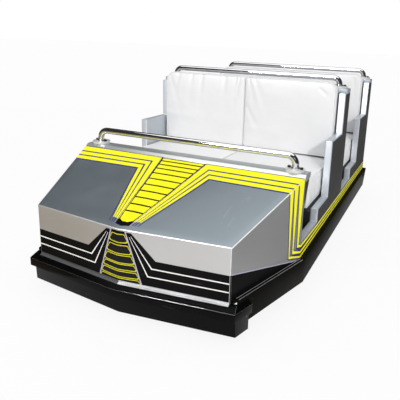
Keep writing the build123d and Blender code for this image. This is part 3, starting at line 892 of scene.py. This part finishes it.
def build_bumper():
    """Bumper with its lip rounded over, a bright metal on the lip's rounding as a painted highlight, and its
    screws.
    """
    bm = cad_bmesh("front_bumper")
    round_edges(bm, 7, 4, angle=18)
    for face in bm.faces:
        # the lip's narrow rounded faces take the painted highlight
        rounding = 0.1 < face.normal.z < 0.85 and face.calc_area() < LIP_MAX_AREA
        if rounding and to_car(face.calc_center_median()).z > LIP_FOOT:
            face.material_index = 2
    low, high = low_high("front_bumper")
    head = rounded([(4, 0), (8, 0), (8, 3), (4, 3)], 1)
    for side in (1, -1):
        spot = place(side * (high.x - 14), high.y - 36, low.z + 92)
        add_turned(bm, head, spot, (side, -0.3, 0), 24, 1)
    names = "bumper_black bright_steel bumper_lip"
    piece_from("bumper", bm, names, slot="bumper_black", replaces=("front_bumper",), sharp=45)


def build_foot_trim():
    """Angle along the foot of the nose face, over the bumper's top; on the car's right a darker copy of the
    aluminium is painted shade.
    """
    bm = bmesh.new()
    lean = math.hypot(nose_half, nose_vee) / nose_half
    for side, end in ((-1, nose_half - 6), (1, nose_half - 2)):
        rings = []
        for x in (0, end):
            ahead = nose_vee / nose_half * x - nose_front
            rings.append([place(side * x, ahead - out * lean, height) for out, height in TRIM_SECTION])
        add_rings(bm, rings, int(side < 0))
    piece_from("foot_trim", bm, "trim_aluminium trim_dull", slot="bright_steel")


def build_skirt_highlights():
    """Two grey strips along each skirt ledge beside the nose: painted highlights of the ledge's edges."""
    bm = bmesh.new()
    ledge_top = low_high("skirt_ledge_left")[1].z
    for _, side in SIDES:
        foot = side_surface(side)

        def on_ledge(distance, out, foot=foot):
            """Point of the ledge's top, out from the nose side."""
            point, normal = foot(distance, ledge_top)
            return point + normal * out * MM, Vector(UP)

        for out in HIGHLIGHT_OUTS:
            add_slab(bm, band([(end, out) for end in HIGHLIGHT_ENDS], 2.6), on_ledge, 1.1)
    piece_from("skirt_painted_highlights", bm, "skirt_edge_painted_highlight", slot="bright_steel")


build_bumper()
build_foot_trim()
for name, _ in SIDES:
    softened(f"skirt_web_{name}", f"skirt_{name}", 1.5, "skirt_black", slot="skirt_black")
    softened(f"skirt_top_{name}", f"skirt_ledge_{name}", 0.8, "skirt_black", slot="skirt_black")
build_skirt_highlights()
softened("skirt_tail", "skirt_rear", 1.5, "skirt_black", slot="skirt_black")

# ------------------------------------------------------------------ cushions
VOXEL = 9
PAD_SHRINK = 4
SEAM_ROUND = 6
SEAM_DEPTH = 2.2
PIPING_R = 3
# how far the cloth may swell, and how far the covers reach out towards the side boards
SWELL = {"seat": 13, "back": 9}
PAD_REACH = {"seat": 5, "back": 14}
PAD_STOP = low_high("side_board_left")[0].x - 1
# shadow gap between a seat and its back, above the CAD gap
BACK_LIFT = 7
SEAT_NOSE_R = 62
BACK_CORNER_R = 60
SMALL_CORNER_R = 16
CLOTH_FRAMES = 20
CLOTH = {"quality": 5, "mass": 0.35, "tension_stiffness": 14, "compression_stiffness": 14}
CLOTH |= {"shear_stiffness": 5, "bending_stiffness": 0.6, "vertex_group_mass": "held"}
CLOTH |= {"use_pressure": True, "uniform_pressure_force": 4}
FOLD_SCALE = 1.7
# soft folds: start and end place, half width, depth; on the backs' fronts a place is (x, height)
BACK_FOLDS = {
    "front": (
        (-40, 826, -62, 700, 9, 3.6), (-70, 832, -88, 560, 16, 3.0), (-150, 832, -165, 600, 20, 2.6),
        (-330, 832, -350, 560, 17, 3.0), (-410, 832, -440, 600, 20, 2.6), (-520, 830, -560, 640, 18, 2.6),
        (-585, 800, -470, 470, 22, 2.0), (28, 830, 110, 560, 18, 3.2), (70, 835, 210, 520, 26, 2.4),
        (20, 640, 170, 400, 20, 2.6), (-600, 545, -60, 535, 34, -2.4), (60, 500, 560, 470, 34, -1.8),
        (520, 800, 600, 740, 12, 2.4),
    ),
    "rear": (
        (-40, 826, -80, 600, 14, 3.0), (-300, 832, -320, 560, 18, 2.6), (30, 830, 90, 560, 18, 3.0),
        (380, 832, 360, 600, 20, 2.4), (560, 810, 590, 560, 14, 2.6),
    ),
}  # fmt: skip
# on the seats' outer sides a place is (distance, height)
SIDE_FOLDS = {
    1: (
        (330, 320, 420, 200, 9.6, 5.6), (400, 325, 520, 215, 11.2, 4.8), (310, 260, 345, 185, 7.2, 4.16),
        (300, 300, 330, 215, 6.4, 4.8), (360, 330, 440, 240, 6.4, -3.84), (480, 330, 640, 230, 12.8, 4.8),
    ),
    -1: ((350, 320, 430, 210, 10.4, 5.12), (450, 325, 590, 220, 12, 4.8)),
}  # fmt: skip


def arc_corner(before, corner, after, radius, steps):
    """Points of a rounded corner in a plane."""
    a, b, c = Vector(before), Vector(corner), Vector(after)
    inward, outward = (a - b).normalized(), (c - b).normalized()
    half = inward.angle(outward) / 2
    reach = radius / math.tan(half)
    centre = b + (inward + outward).normalized() * radius / math.sin(half)
    start, end = b + inward * reach - centre, b + outward * reach - centre
    sweep = start.angle_signed(end)
    turned = []
    for i in range(steps + 1):
        angle = -sweep * i / steps
        cosine, sine = math.cos(angle), math.sin(angle)
        turned.append(centre + Vector((start.x * cosine - start.y * sine, start.x * sine + start.y * cosine)))
    return turned


def pad_outline(low, high, radii, inset):
    """Closed outline of a pad's section from its two corners and four corner radii."""
    (a0, b0), (a1, b1) = [v + inset for v in low], [v - inset for v in high]
    corners = [(a0, b0), (a1, b0), (a1, b1), (a0, b1)]
    points = []
    for i, radius in enumerate(radii):
        steps = 10 if radius > 30 else 4
        points += arc_corner(corners[i - 1], corners[i], corners[(i + 1) % 4], radius, steps)
    return points


class Pad:
    """One cushion: its section, its place along the other axis, and its two seam loops."""

    def __init__(self, kind, row, side_name, side):
        self.kind, self.row, self.side = kind, row, side
        self.name, self.node = f"{kind}_pad_{row}_{side_name}", f"{kind}_cushion_{row}_{side_name}"
        low, high = low_high(self.node)
        small = SMALL_CORNER_R
        if kind == "seat":
            self.axes, self.radii = (1, 2, 0), (small, small, small, SEAT_NOSE_R)
        else:
            self.axes, self.radii = (0, 2, 1), (small, small, *(BACK_CORNER_R, small)[::side])
            low.z += BACK_LIFT
        (high if side > 0 else low).x += side * PAD_REACH[kind]
        low, high = list(low), list(high)
        # the inner sides of the two cushions of a row meet
        (low if side > 0 else high)[0] -= side * (PAD_SHRINK + 0.6)
        a, b, c = self.axes
        self.low, self.high, self.ends = (low[a], low[b]), (high[a], high[b]), (low[c], high[c])

    def seam(self, end, inset=PAD_SHRINK):
        """Closed line round one end of the pad, in car millimetres."""
        c = self.ends[end] + (inset if end == 0 else -inset)
        order = [self.axes.index(axis) for axis in range(3)]
        section = pad_outline(self.low, self.high, self.radii, inset)
        return [Vector([(a, b, c)[i] for i in order]) for a, b in section]

    def to_rim(self, spot):
        """Distance of a place from the section's border."""
        spans = zip(self.axes, self.low, self.high)
        return min(min(spot[axis] - low, high - spot[axis]) for axis, low, high in spans)

    def seam_groove(self, spot, way):
        """Depth of the sewn channel beside the piping, on the panel that faces along the pad."""
        if abs(way[self.axes[2]]) < 0.7:
            return 0.0
        return SEAM_DEPTH * math.exp(-(((self.to_rim(spot) - 11) / 5) ** 2))

    def block(self):
        """Slightly smaller plain form that the cloth starts from."""
        bm = bmesh.new()
        add_rings(bm, [[place(*p) for p in self.seam(end)] for end in (0, 1)])
        bmesh.ops.recalc_face_normals(bm, faces=bm.faces)
        round_edges(bm, SEAM_ROUND, 2, angle=60)
        return mesh_of("block", bm)


def evaluated(temp):
    """Mesh of a temporary object with its modifiers applied; removes the object."""
    graph = bpy.context.evaluated_depsgraph_get()
    made = bpy.data.meshes.new_from_object(temp.evaluated_get(graph), depsgraph=graph)
    bpy.data.objects.remove(temp)
    return made


def remeshed(mesh):
    """Even quads over a closed form."""
    temp = linked("temp", mesh)
    step = temp.modifiers.new("remesh", "REMESH")
    step.mode, step.voxel_size = "VOXEL", VOXEL * MM
    return evaluated(temp)


def refined(mesh):
    """One subdivision, applied."""
    temp = linked("temp", mesh)
    temp.modifiers.new("subdivide", "SUBSURF").levels = 1
    return evaluated(temp)


def swelled(pad, mesh):
    """Inflates the cover between its seams with cloth, each point capped; leaves no simulation behind."""
    rest = [v.co.copy() for v in mesh.vertices]
    temp = linked("temp", mesh)
    held = temp.vertex_groups.new(name="held")
    for v in mesh.vertices:
        spot = to_car(v.co)
        to_end = min(abs(spot[pad.axes[2]] - end) for end in pad.ends)
        to_bed = abs(spot.z - pad.low[1]) if pad.kind == "seat" else abs(spot.y - pad.ends[1])
        if to_bed < PAD_SHRINK + 3:
            held.add([v.index], 1.0, "REPLACE")
        elif max(to_end, pad.to_rim(spot)) < PAD_SHRINK + SEAM_ROUND + 2:
            held.add([v.index], 0.85, "REPLACE")
    cloth = temp.modifiers.new("cloth", "CLOTH")
    for key, value in CLOTH.items():
        setattr(cloth.settings, key, value)
    cloth.settings.effector_weights.gravity = 0
    cloth.point_cache.frame_start, cloth.point_cache.frame_end = 1, CLOTH_FRAMES
    for step in range(1, CLOTH_FRAMES + 1):
        bpy.context.scene.frame_set(step)
    made = evaluated(temp)
    for v, start in zip(made.vertices, rest):
        way = v.co - start
        v.co = start + way * min(1, SWELL[pad.kind] * MM / max(way.length, 1e-9))
    bpy.context.scene.frame_set(1)
    return made


def fold_depth(a, b, fold):
    """Depth of one soft fold at a place; it fades out along its length."""
    ax, ay, bx, by, half, depth = fold
    run = Vector((bx - ax, by - ay))
    along = ((a - ax) * run.x + (b - ay) * run.y) / run.length_squared
    if not -0.15 < along < 1.25:
        return 0.0
    across = abs((a - ax) * run.y - (b - ay) * run.x) / run.length
    width = half * (0.7 + 0.9 * max(0, along))
    fade = max(0.0, 1 - along) ** 0.7 if along > 0 else 1 + along / 0.15
    return depth * fade * math.exp(-((across / width) ** 2))


def shaped(pad, mesh, seed, row_start):
    """Adds folds and slow unevenness to a swelled cover."""
    offset = Vector((seed * 3.1, seed * 1.7, seed * 0.9))
    back = pad.kind == "back"
    folds = BACK_FOLDS[pad.row] if back else SIDE_FOLDS[pad.side]
    ways = [v.normal.copy() for v in mesh.vertices]
    for v, way in zip(mesh.vertices, ways):
        spot, depth = to_car(v.co), 0.0
        if -way.y > 0.5 if back else way.x * pad.side > 0.5:
            along = spot.x if back else spot.y - row_start
            depth = sum(fold_depth(along, spot.z, fold) for fold in folds)
        wave = noise.noise(v.co * 9 + offset) * 1.5 + noise.noise(v.co * 24 + offset) * 0.5
        v.co += way * (wave - depth * FOLD_SCALE - pad.seam_groove(spot, way)) * MM
        v.co.x = max(-PAD_STOP * MM, min(PAD_STOP * MM, v.co.x))
    return mesh


def add_piping(bm, pad, mesh):
    """Piping along the pad's visible seams, sunk to half its thickness in the cover."""
    tree = BVHTree.FromPolygons([v.co for v in mesh.vertices], [tuple(p.vertices) for p in mesh.polygons])
    for end in (0, 1) if pad.kind == "seat" else (0,):
        loop, spots, rings = pad.seam(end, PAD_SHRINK + 1.5), [], []
        for here, after in zip(loop, loop[1:] + loop[:1]):
            steps = max(1, round((after - here).length / 12))
            spots += [tree.find_nearest(place(*here.lerp(after, k / steps)))[:2] for k in range(steps)]
        centres = [found + normal * PIPING_R * 0.2 * MM for found, normal in spots]
        count = len(centres)
        for _ in range(3):
            centres = [(centres[i - 1] + centres[i] * 2 + centres[(i + 1) % count]) / 4 for i in range(count)]
        for i, centre in enumerate(centres):
            along = (centres[(i + 1) % count] - centres[i - 1]).normalized()
            side = along.cross(spots[i][1]).normalized()
            rings.append(circle(centre, side, along.cross(side), PIPING_R, 8))
        add_rings(bm, rings, 1, wrap=True)


def build_cushions(kind, side_name, side):
    """Covers of one kind and side, swelled once and then given their own folds in each row."""
    first = Pad(kind, "front", side_name, side)
    cover = swelled(first, remeshed(first.block()))
    for k, row in enumerate(ROWS):
        pad = Pad(kind, row, side_name, side)
        mesh = cover.copy()
        mesh.transform(Matrix.Translation((0, k * row_pitch * MM, 0)))
        seed = 1 + k * 4 + (side > 0) * 2 + (kind == "back")
        mesh = shaped(pad, refined(mesh), seed, k * row_pitch)
        bm = bmesh.new()
        bm.from_mesh(mesh)
        add_piping(bm, pad, mesh)
        facts = {"slot": "vinyl_white", "replaces": (pad.node,), "sharp": 70}
        piece_from(pad.name, bm, "white_vinyl vinyl_piping", **facts)


for kind in ("seat", "back"):
    for side_name, side in SIDES:
        build_cushions(kind, side_name, side)

# ------------------------------------------------------------------ floor, chassis and running gear
tyre_low, tyre_high = low_high("front_tyre_left")
hub_low, hub_high = low_high("front_hub_left")
axle_low, axle_high = low_high("rear_axle")
bearing_low, bearing_high = low_high("axle_bearings")
wheel_r = (tyre_high.z - tyre_low.z) / 2
wheel_half_w = (tyre_high.x - tyre_low.x) / 2
rim_r = (hub_high.z - hub_low.z) / 2
wheel_h = tyre_low.z + wheel_r
king_y = (tyre_low.y + tyre_high.y) / 2
rear_axle_y = (axle_low.y + axle_high.y) / 2
front_track_half = (tyre_low.x + tyre_high.x) / 2
rear_track_half = axle_high.x - wheel_half_w
turntable_foot = low_high("chassis_frame")[0].z - 0.3 - 12
TREAD_PITCH = 10
TREAD_DEPTH = 2.6
# degrees from the start of a pitch, and whether the cross groove is cut there
TREAD_STEPS = ((0, False), (0.3, True), (2.1, True), (2.4, False), (4.9, False), (7.4, False))
RIB_HALF = 8.9
HUB_BOSS_R = 22
HUB_FLOOR = 6.5
HUB_BOLT_AT = 38
STUB_R = 10
AXLE_R = 15
TURNTABLE_BOLT_AT = 50


def add_revolved(bm, section, origin, side, angles):
    """Ring turned about the car's width from a closed section of (radius, across) pairs.

    Each angle comes with whether it lies in a cross groove; the middle rib of the tread runs through.
    """
    rings = []
    for radius, across in section:
        cut = TREAD_DEPTH if abs(across) > RIB_HALF and radius > wheel_r - 3.5 else 0
        ring = []
        for angle, in_groove in angles:
            reach = radius - cut * in_groove
            spoke = Vector((side * across, reach * math.cos(angle), reach * math.sin(angle)))
            ring.append(origin + spoke * MM)
        rings.append(ring)
    add_rings(bm, rings, wrap=True)


def add_tyre(bm, origin, side):
    """Solid tyre with two round grooves and cut shoulders."""
    r, w = wheel_r, wheel_half_w
    half = [(rim_r, w - 1.5), (rim_r + 2, w - 0.4), (rim_r + 6, w), (rim_r + 8, w - 0.9), (r - 7, w - 0.9)]
    half += [(r - 5.5, w), (r - 3, w - 0.4), (r - 0.8, w - 2.2), (r, w - 5), (r, 9)]
    half += [(r - TREAD_DEPTH, 8.4), (r - TREAD_DEPTH, 6.2), (r, 5.6)]
    starts = range(0, 360, TREAD_PITCH)
    angles = [(math.radians(start + step), in_groove) for start in starts for step, in_groove in TREAD_STEPS]
    add_revolved(bm, half + [(radius, -across) for radius, across in half[::-1]], origin, side, angles)


def add_hex_bolt(bm, origin, axis, head_r=6.5, head_h=5, washer_r=8.5):
    """Hexagon head on its washer."""
    axis = Vector(axis)
    add_turned(bm, [(washer_r, 0), (washer_r, 1.2), (washer_r - 0.5, 1.6)], origin, axis, 20, 1)
    head = [(head_r, 0), (head_r, head_h - 1), (head_r * 0.84, head_h)]
    add_turned(bm, head, origin + axis * 1.5 * MM, axis, 6, 1)


def add_hub(bm, origin, side, bore):
    """Cast hub, recessed round its boss, with five bolts."""
    w, r, boss = wheel_half_w, rim_r, HUB_BOSS_R
    section = [(bore, 1 - w), (bore + 1, -w), (r - 2, -w), (r, 2 - w), (r, w - 2), (r - 1.5, w), (r - 6.5, w)]
    section += [(r - 8, w - 1.5), (r - 9, HUB_FLOOR + 3), (r - 12, HUB_FLOOR), (boss + 4, HUB_FLOOR)]
    section += [(boss + 1, HUB_FLOOR + 2), (boss, w - 2), (boss - 1.5, w), (bore + 1.2, w), (bore, w - 1.2)]
    add_revolved(bm, section, origin, side, [(2 * math.pi * i / 64, False) for i in range(64)])
    for i in range(5):
        angle = 2 * math.pi * (i + 0.25) / 5
        spoke = Vector((side * HUB_FLOOR, HUB_BOLT_AT * math.cos(angle), HUB_BOLT_AT * math.sin(angle)))
        add_hex_bolt(bm, origin + spoke * MM, (side, 0, 0))


def add_block(bm, low, high, radius, segments):
    """Box between two corners in the car's millimetres, with rounded edges."""
    part = bmesh.new()
    low, high = Vector(low), Vector(high)
    turn_to = Matrix.Translation(place(*(low + high) / 2)) @ Matrix.Diagonal((*(high - low) * MM, 1))
    bmesh.ops.create_cube(part, size=1, matrix=turn_to)
    round_edges(part, radius, segments)
    mesh = mesh_of("block", part)
    bm.from_mesh(mesh)
    bpy.data.meshes.remove(mesh)


def build_wheels():
    """Front tyres and hubs, free on their stub axles, and the rear pair on its one shaft."""
    hub_paints = "wheel_hub bright_steel"
    for name, side in SIDES:
        facts = {"body": f"front_wheel_{name}"}
        origin = place(side * front_track_half, king_y, wheel_h)
        tyre, hub = bmesh.new(), bmesh.new()
        add_tyre(tyre, origin, side)
        piece_from(f"front_tread_{name}", tyre, "tyre_rubber", replaces=(f"front_tyre_{name}",), **facts)
        add_hub(hub, origin, side, STUB_R + 0.3)
        piece_from(f"front_casting_{name}", hub, hub_paints, replaces=(f"front_hub_{name}",), **facts)
    treads, axle = bmesh.new(), bmesh.new()
    half = rear_track_half + wheel_half_w
    end = [(AXLE_R, half - 0.5), (AXLE_R - 1.5, half + 1), (4, half + 1)]
    shaft = [(radius, -along) for radius, along in end[::-1]] + end
    add_turned(axle, shaft, place(0, rear_axle_y, wheel_h), (1, 0, 0), 40, 1)
    collar = rounded([(AXLE_R, 0), (24, 0), (24, 14), (AXLE_R, 14)], 1.5)
    for side in (1, -1):
        origin, outward = place(side * rear_track_half, rear_axle_y, wheel_h), (side, 0, 0)
        add_tyre(treads, origin, side)
        add_hub(axle, origin, side, AXLE_R - 0.5)
        add_turned(axle, collar, place(side * (bearing_high.x + 1), rear_axle_y, wheel_h), outward, 40, 1)
        add_hex_bolt(axle, place(side * half, rear_axle_y, wheel_h), outward, 8, 5, 11)
    piece_from("rear_treads", treads, "tyre_rubber", body="rear_axle_set", replaces=("rear_tyres",))
    piece_from("rear_axle_turned", axle, hub_paints, body="rear_axle_set", replaces=("rear_axle",))


def build_bogie():
    """Steering frame with rounded edges, wheel nuts and turntable bolts."""
    bm = cad_bmesh("bogie_frame")
    round_edges(bm, 2, 2)
    nut_x = low_high("bogie_frame")[1].x - 3.4
    for side in (1, -1):
        add_hex_bolt(bm, place(side * nut_x, king_y, wheel_h), (side, 0, 0), 11, 7, 17)
    for i in range(6):
        angle = math.pi * (i + 0.5) / 3
        x, y = TURNTABLE_BOLT_AT * math.cos(angle), TURNTABLE_BOLT_AT * math.sin(angle)
        if max(abs(x), abs(y)) > 44:
            add_hex_bolt(bm, place(x, king_y + y, turntable_foot), DOWN, 6, 5, 8)
    names = "frame_steel bright_steel"
    piece_from("bogie_casting", bm, names, body="front_bogie", replaces=("bogie_frame",))


def clear_of_bore(edge):
    """Whether an edge of the bearing blocks is away from the shaft."""
    return abs(to_car((edge.verts[0].co + edge.verts[1].co) / 2).z - wheel_h) > 18


def build_bearings():
    """Plummer blocks of the rear axle, each with its bolts."""
    bm = cad_bmesh("axle_bearings")
    round_edges(bm, 3, 3, pick=clear_of_bore)
    for side in (1, -1):
        for way in (1, -1):
            spot = place(side * (bearing_high.x - 20), rear_axle_y + way * 32, bearing_low.z)
            add_hex_bolt(bm, spot, DOWN, 7, 5, 9.5)
    piece_from("bearing_blocks", bm, "frame_steel bright_steel", replaces=("axle_bearings",))


def build_motor():
    """Drive motor: finned body between two bolted end plates, with a terminal box."""
    bm = bmesh.new()
    low, high = low_high("drive_motor")
    add_block(bm, low + Vector((8, 8, 8)), high - Vector((8, 8, 0)), 12, 4)
    for x in (low.x, high.x - 10):
        add_block(bm, (x, low.y, low.z), (x + 10, high.y, high.z), 3, 3)
    fins = round((high.x - low.x - 40) / 14)
    for i in range(fins + 1):
        x = mix(low.x + 20, high.x - 20, i / fins)
        add_block(bm, (x - 1.5, low.y + 2, low.z + 2), (x + 1.5, high.y - 2, high.z - 6), 1, 1)
    add_block(bm, (-42, low.y - 26, low.z + 24), (42, low.y + 12, low.z + 84), 4, 3)
    boss = rounded([(10, 0), (34, 0), (34, 6), (10, 6)], 2)
    for x in (low.x, high.x):
        outward = (1 if x > 0 else -1, 0, 0)
        for y in (low.y + 16, high.y - 16):
            for z in (low.z + 16, high.z - 24):
                add_hex_bolt(bm, place(x, y, z), outward, 6, 4, 8)
        add_turned(bm, boss, place(x, (low.y + high.y) / 2, (low.z + high.z) / 2), outward, 36)
    piece_from("motor_casing", bm, "motor_paint bright_steel", replaces=("drive_motor",))


build_wheels()
build_bogie()
build_bearings()
build_motor()
softened("chassis_weldment", "chassis_frame", 2.5, "frame_steel", segments=2)
softened("floor_deck", "floor_panel", 1.2, "floor_black", segments=2)

# ------------------------------------------------------------------ floor, lights and camera, in metres
AMBIENT = 0.62
FLOOR_GLOW = 0.88
SOFT_BOX_AWAY = 5
FLOOR_HALF = 60
WALL_R = 6
WALL_SPAN = (0.2, 8.4)
# camera as seen from its target, which it also rolls about
CAMERA_SIDE, CAMERA_UP, CAMERA_AWAY = 23.832, 14.441, 3.1939
CAMERA_ROLL = math.radians(1.999)
CAMERA_TARGET = (-0.0208, -0.0673, 0.485)
SENSOR, LENS, SHIFT_X, SHIFT_Y = 36, 42.597, -0.07, -0.10
# corners of the dark cards on either side of the car, on the ground
CARD_HEIGHT = 0.02
RIGHT_CARD = ((-0.45, -1.45), (-0.9, -6), (-6, -6), (-6, 3), (-0.8, 3), (-0.8, -1.2))
LEFT_CARD = ((0.85, -1.2), (1.6, -1.9), (6, -1.9), (6, 6), (-2, 6), (-2, 1.7), (0.85, 1.7))


def seen_or_mirrored(tree):
    """1 for camera, glossy and transmission rays, else 0."""
    rays = add_node(tree, "LightPath").outputs
    value = rays["Is Camera Ray"]
    for other in ("Is Glossy Ray", "Is Transmission Ray"):
        value = add_node(tree, "Math", value, rays[other], operation="MAXIMUM").outputs[0]
    return value


def make_world():
    """White surroundings for the eye and for gloss, and a plainer level of light."""
    world = bpy.data.worlds.new("studio")
    bpy.context.scene.world = world
    world.use_nodes = True
    level = add_node(world.node_tree, "MapRange", Value=seen_or_mirrored(world.node_tree), To_Min=AMBIENT)
    background = world.node_tree.nodes["Background"]
    background.inputs["Color"].default_value = (1, 1, 1, 1)
    world.node_tree.links.new(level.outputs["Result"], background.inputs["Strength"])


def make_floor_paint():
    """Pale ground that keeps the shadow, runs out to the white round it and is clear from below."""
    finish = Finish("stage_floor", 0.86, 0.7, specular=0.1).mottle(0.6, 0.01)
    glow = finish.node("Emission", Strength=1.0).outputs[0]
    share = finish.node("Math", seen_or_mirrored(finish.tree), FLOOR_GLOW, operation="MULTIPLY").outputs[0]
    blend = finish.node("MixShader", share, finish.shader.outputs[0], glow).outputs[0]
    below = finish.node("NewGeometry").outputs["Backfacing"]
    clear = finish.node("BsdfTransparent").outputs[0]
    one_sided = finish.node("MixShader", below, blend, clear).outputs[0]
    finish.tree.links.new(one_sided, finish.tree.nodes["Material Output"].inputs["Surface"])
    return finish.material


def stage_object(name, bm, material):
    """Object of the set."""
    made = linked(name, mesh_of(name, bm))
    made.data.materials.append(material)
    return made


def reflected(name, rings, shade):
    """Stage sheet through rings or one outline of points, which only shows in polished surfaces."""
    bm = bmesh.new()
    if len(rings) > 1:
        add_rings(bm, rings, ends=False)
    else:
        bm.faces.new([bm.verts.new(p) for p in rings[0]])
    made = stage_object(name, bm, Finish(name, shade, 0.9, specular=0.0).mottle(0.5, 0.1).material)
    for ray in ("camera", "diffuse", "transmission", "shadow", "volume_scatter"):
        setattr(made, f"visible_{ray}", False)


def direction(azimuth, elevation):
    """Way up from the car, in degrees; azimuth from its nose towards its left."""
    turn, rise = math.radians(azimuth), math.radians(elevation)
    return Vector((math.sin(turn) * math.cos(rise), -math.cos(turn) * math.cos(rise), math.sin(rise)))


def add_lamp(name, kind, azimuth, elevation, **settings):
    """Lamp shining from a direction."""
    data = bpy.data.lights.new(name, kind)
    for key, value in settings.items():
        setattr(data, key, value)
    lamp = linked(name, data)
    lamp.rotation_euler = direction(azimuth, elevation).to_track_quat("Z", "Y").to_euler()
    return lamp


def soft_box(name, azimuth, elevation, width, height, radiance, target):
    """Rectangular lamp aimed at a place."""
    settings = {"shape": "RECTANGLE", "size": width, "size_y": height}
    energy = radiance * math.pi * width * height
    lamp = add_lamp(name, "AREA", azimuth, elevation, energy=energy, **settings)
    lamp.location = Vector(target) + direction(azimuth, elevation) * SOFT_BOX_AWAY
    return lamp


def add_camera():
    """Camera at the photograph's viewing angle."""
    data = bpy.data.cameras.new("camera")
    camera = linked("camera", data)
    bpy.context.scene.camera = camera
    data.sensor_width, data.lens, data.shift_x, data.shift_y = SENSOR, LENS, SHIFT_X, SHIFT_Y
    back = direction(CAMERA_SIDE, CAMERA_UP)
    level = Vector(UP).cross(back).normalized()
    up = back.cross(level)
    right = level * math.cos(CAMERA_ROLL) + up * math.sin(CAMERA_ROLL)
    turn = Matrix((right, back.cross(right), back)).transposed()
    camera.matrix_world = Matrix.Translation(Vector(CAMERA_TARGET) + back * CAMERA_AWAY) @ turn.to_4x4()


bpy.context.scene.view_settings.view_transform = "Standard"
make_world()
ground = bmesh.new()
bmesh.ops.create_grid(ground, x_segments=1, y_segments=1, size=FLOOR_HALF)
stage_object("floor", ground, make_floor_paint())
add_lamp("key", "SUN", 34, 24, angle=math.radians(5), energy=1.25)
add_lamp("top", "SUN", 0, 88, angle=math.radians(70), energy=0.6)
soft_box("strip", -24, 40, 1.1, 1.1, 7, (0.4, -1.2, 0.2))
soft_box("lip_glint", -18, 40, 2.6, 0.5, 75, (0.3, -1.3, 0.15)).visible_diffuse = False
east, north = Vector((1, 0, 0)), Vector((0, 1, 0))
wall = [circle(Vector((0, 0, height)), east, north, WALL_R / MM, 48) for height in WALL_SPAN]
reflected("studio_wall", wall, 0.05)
reflected("card_right_of_car", [[(x, y, CARD_HEIGHT) for x, y in RIGHT_CARD]], (0.35, 0.28, 0.18))
reflected("card_left_of_car", [[(x, y, CARD_HEIGHT) for x, y in LEFT_CARD]], 0.20)
add_camera()
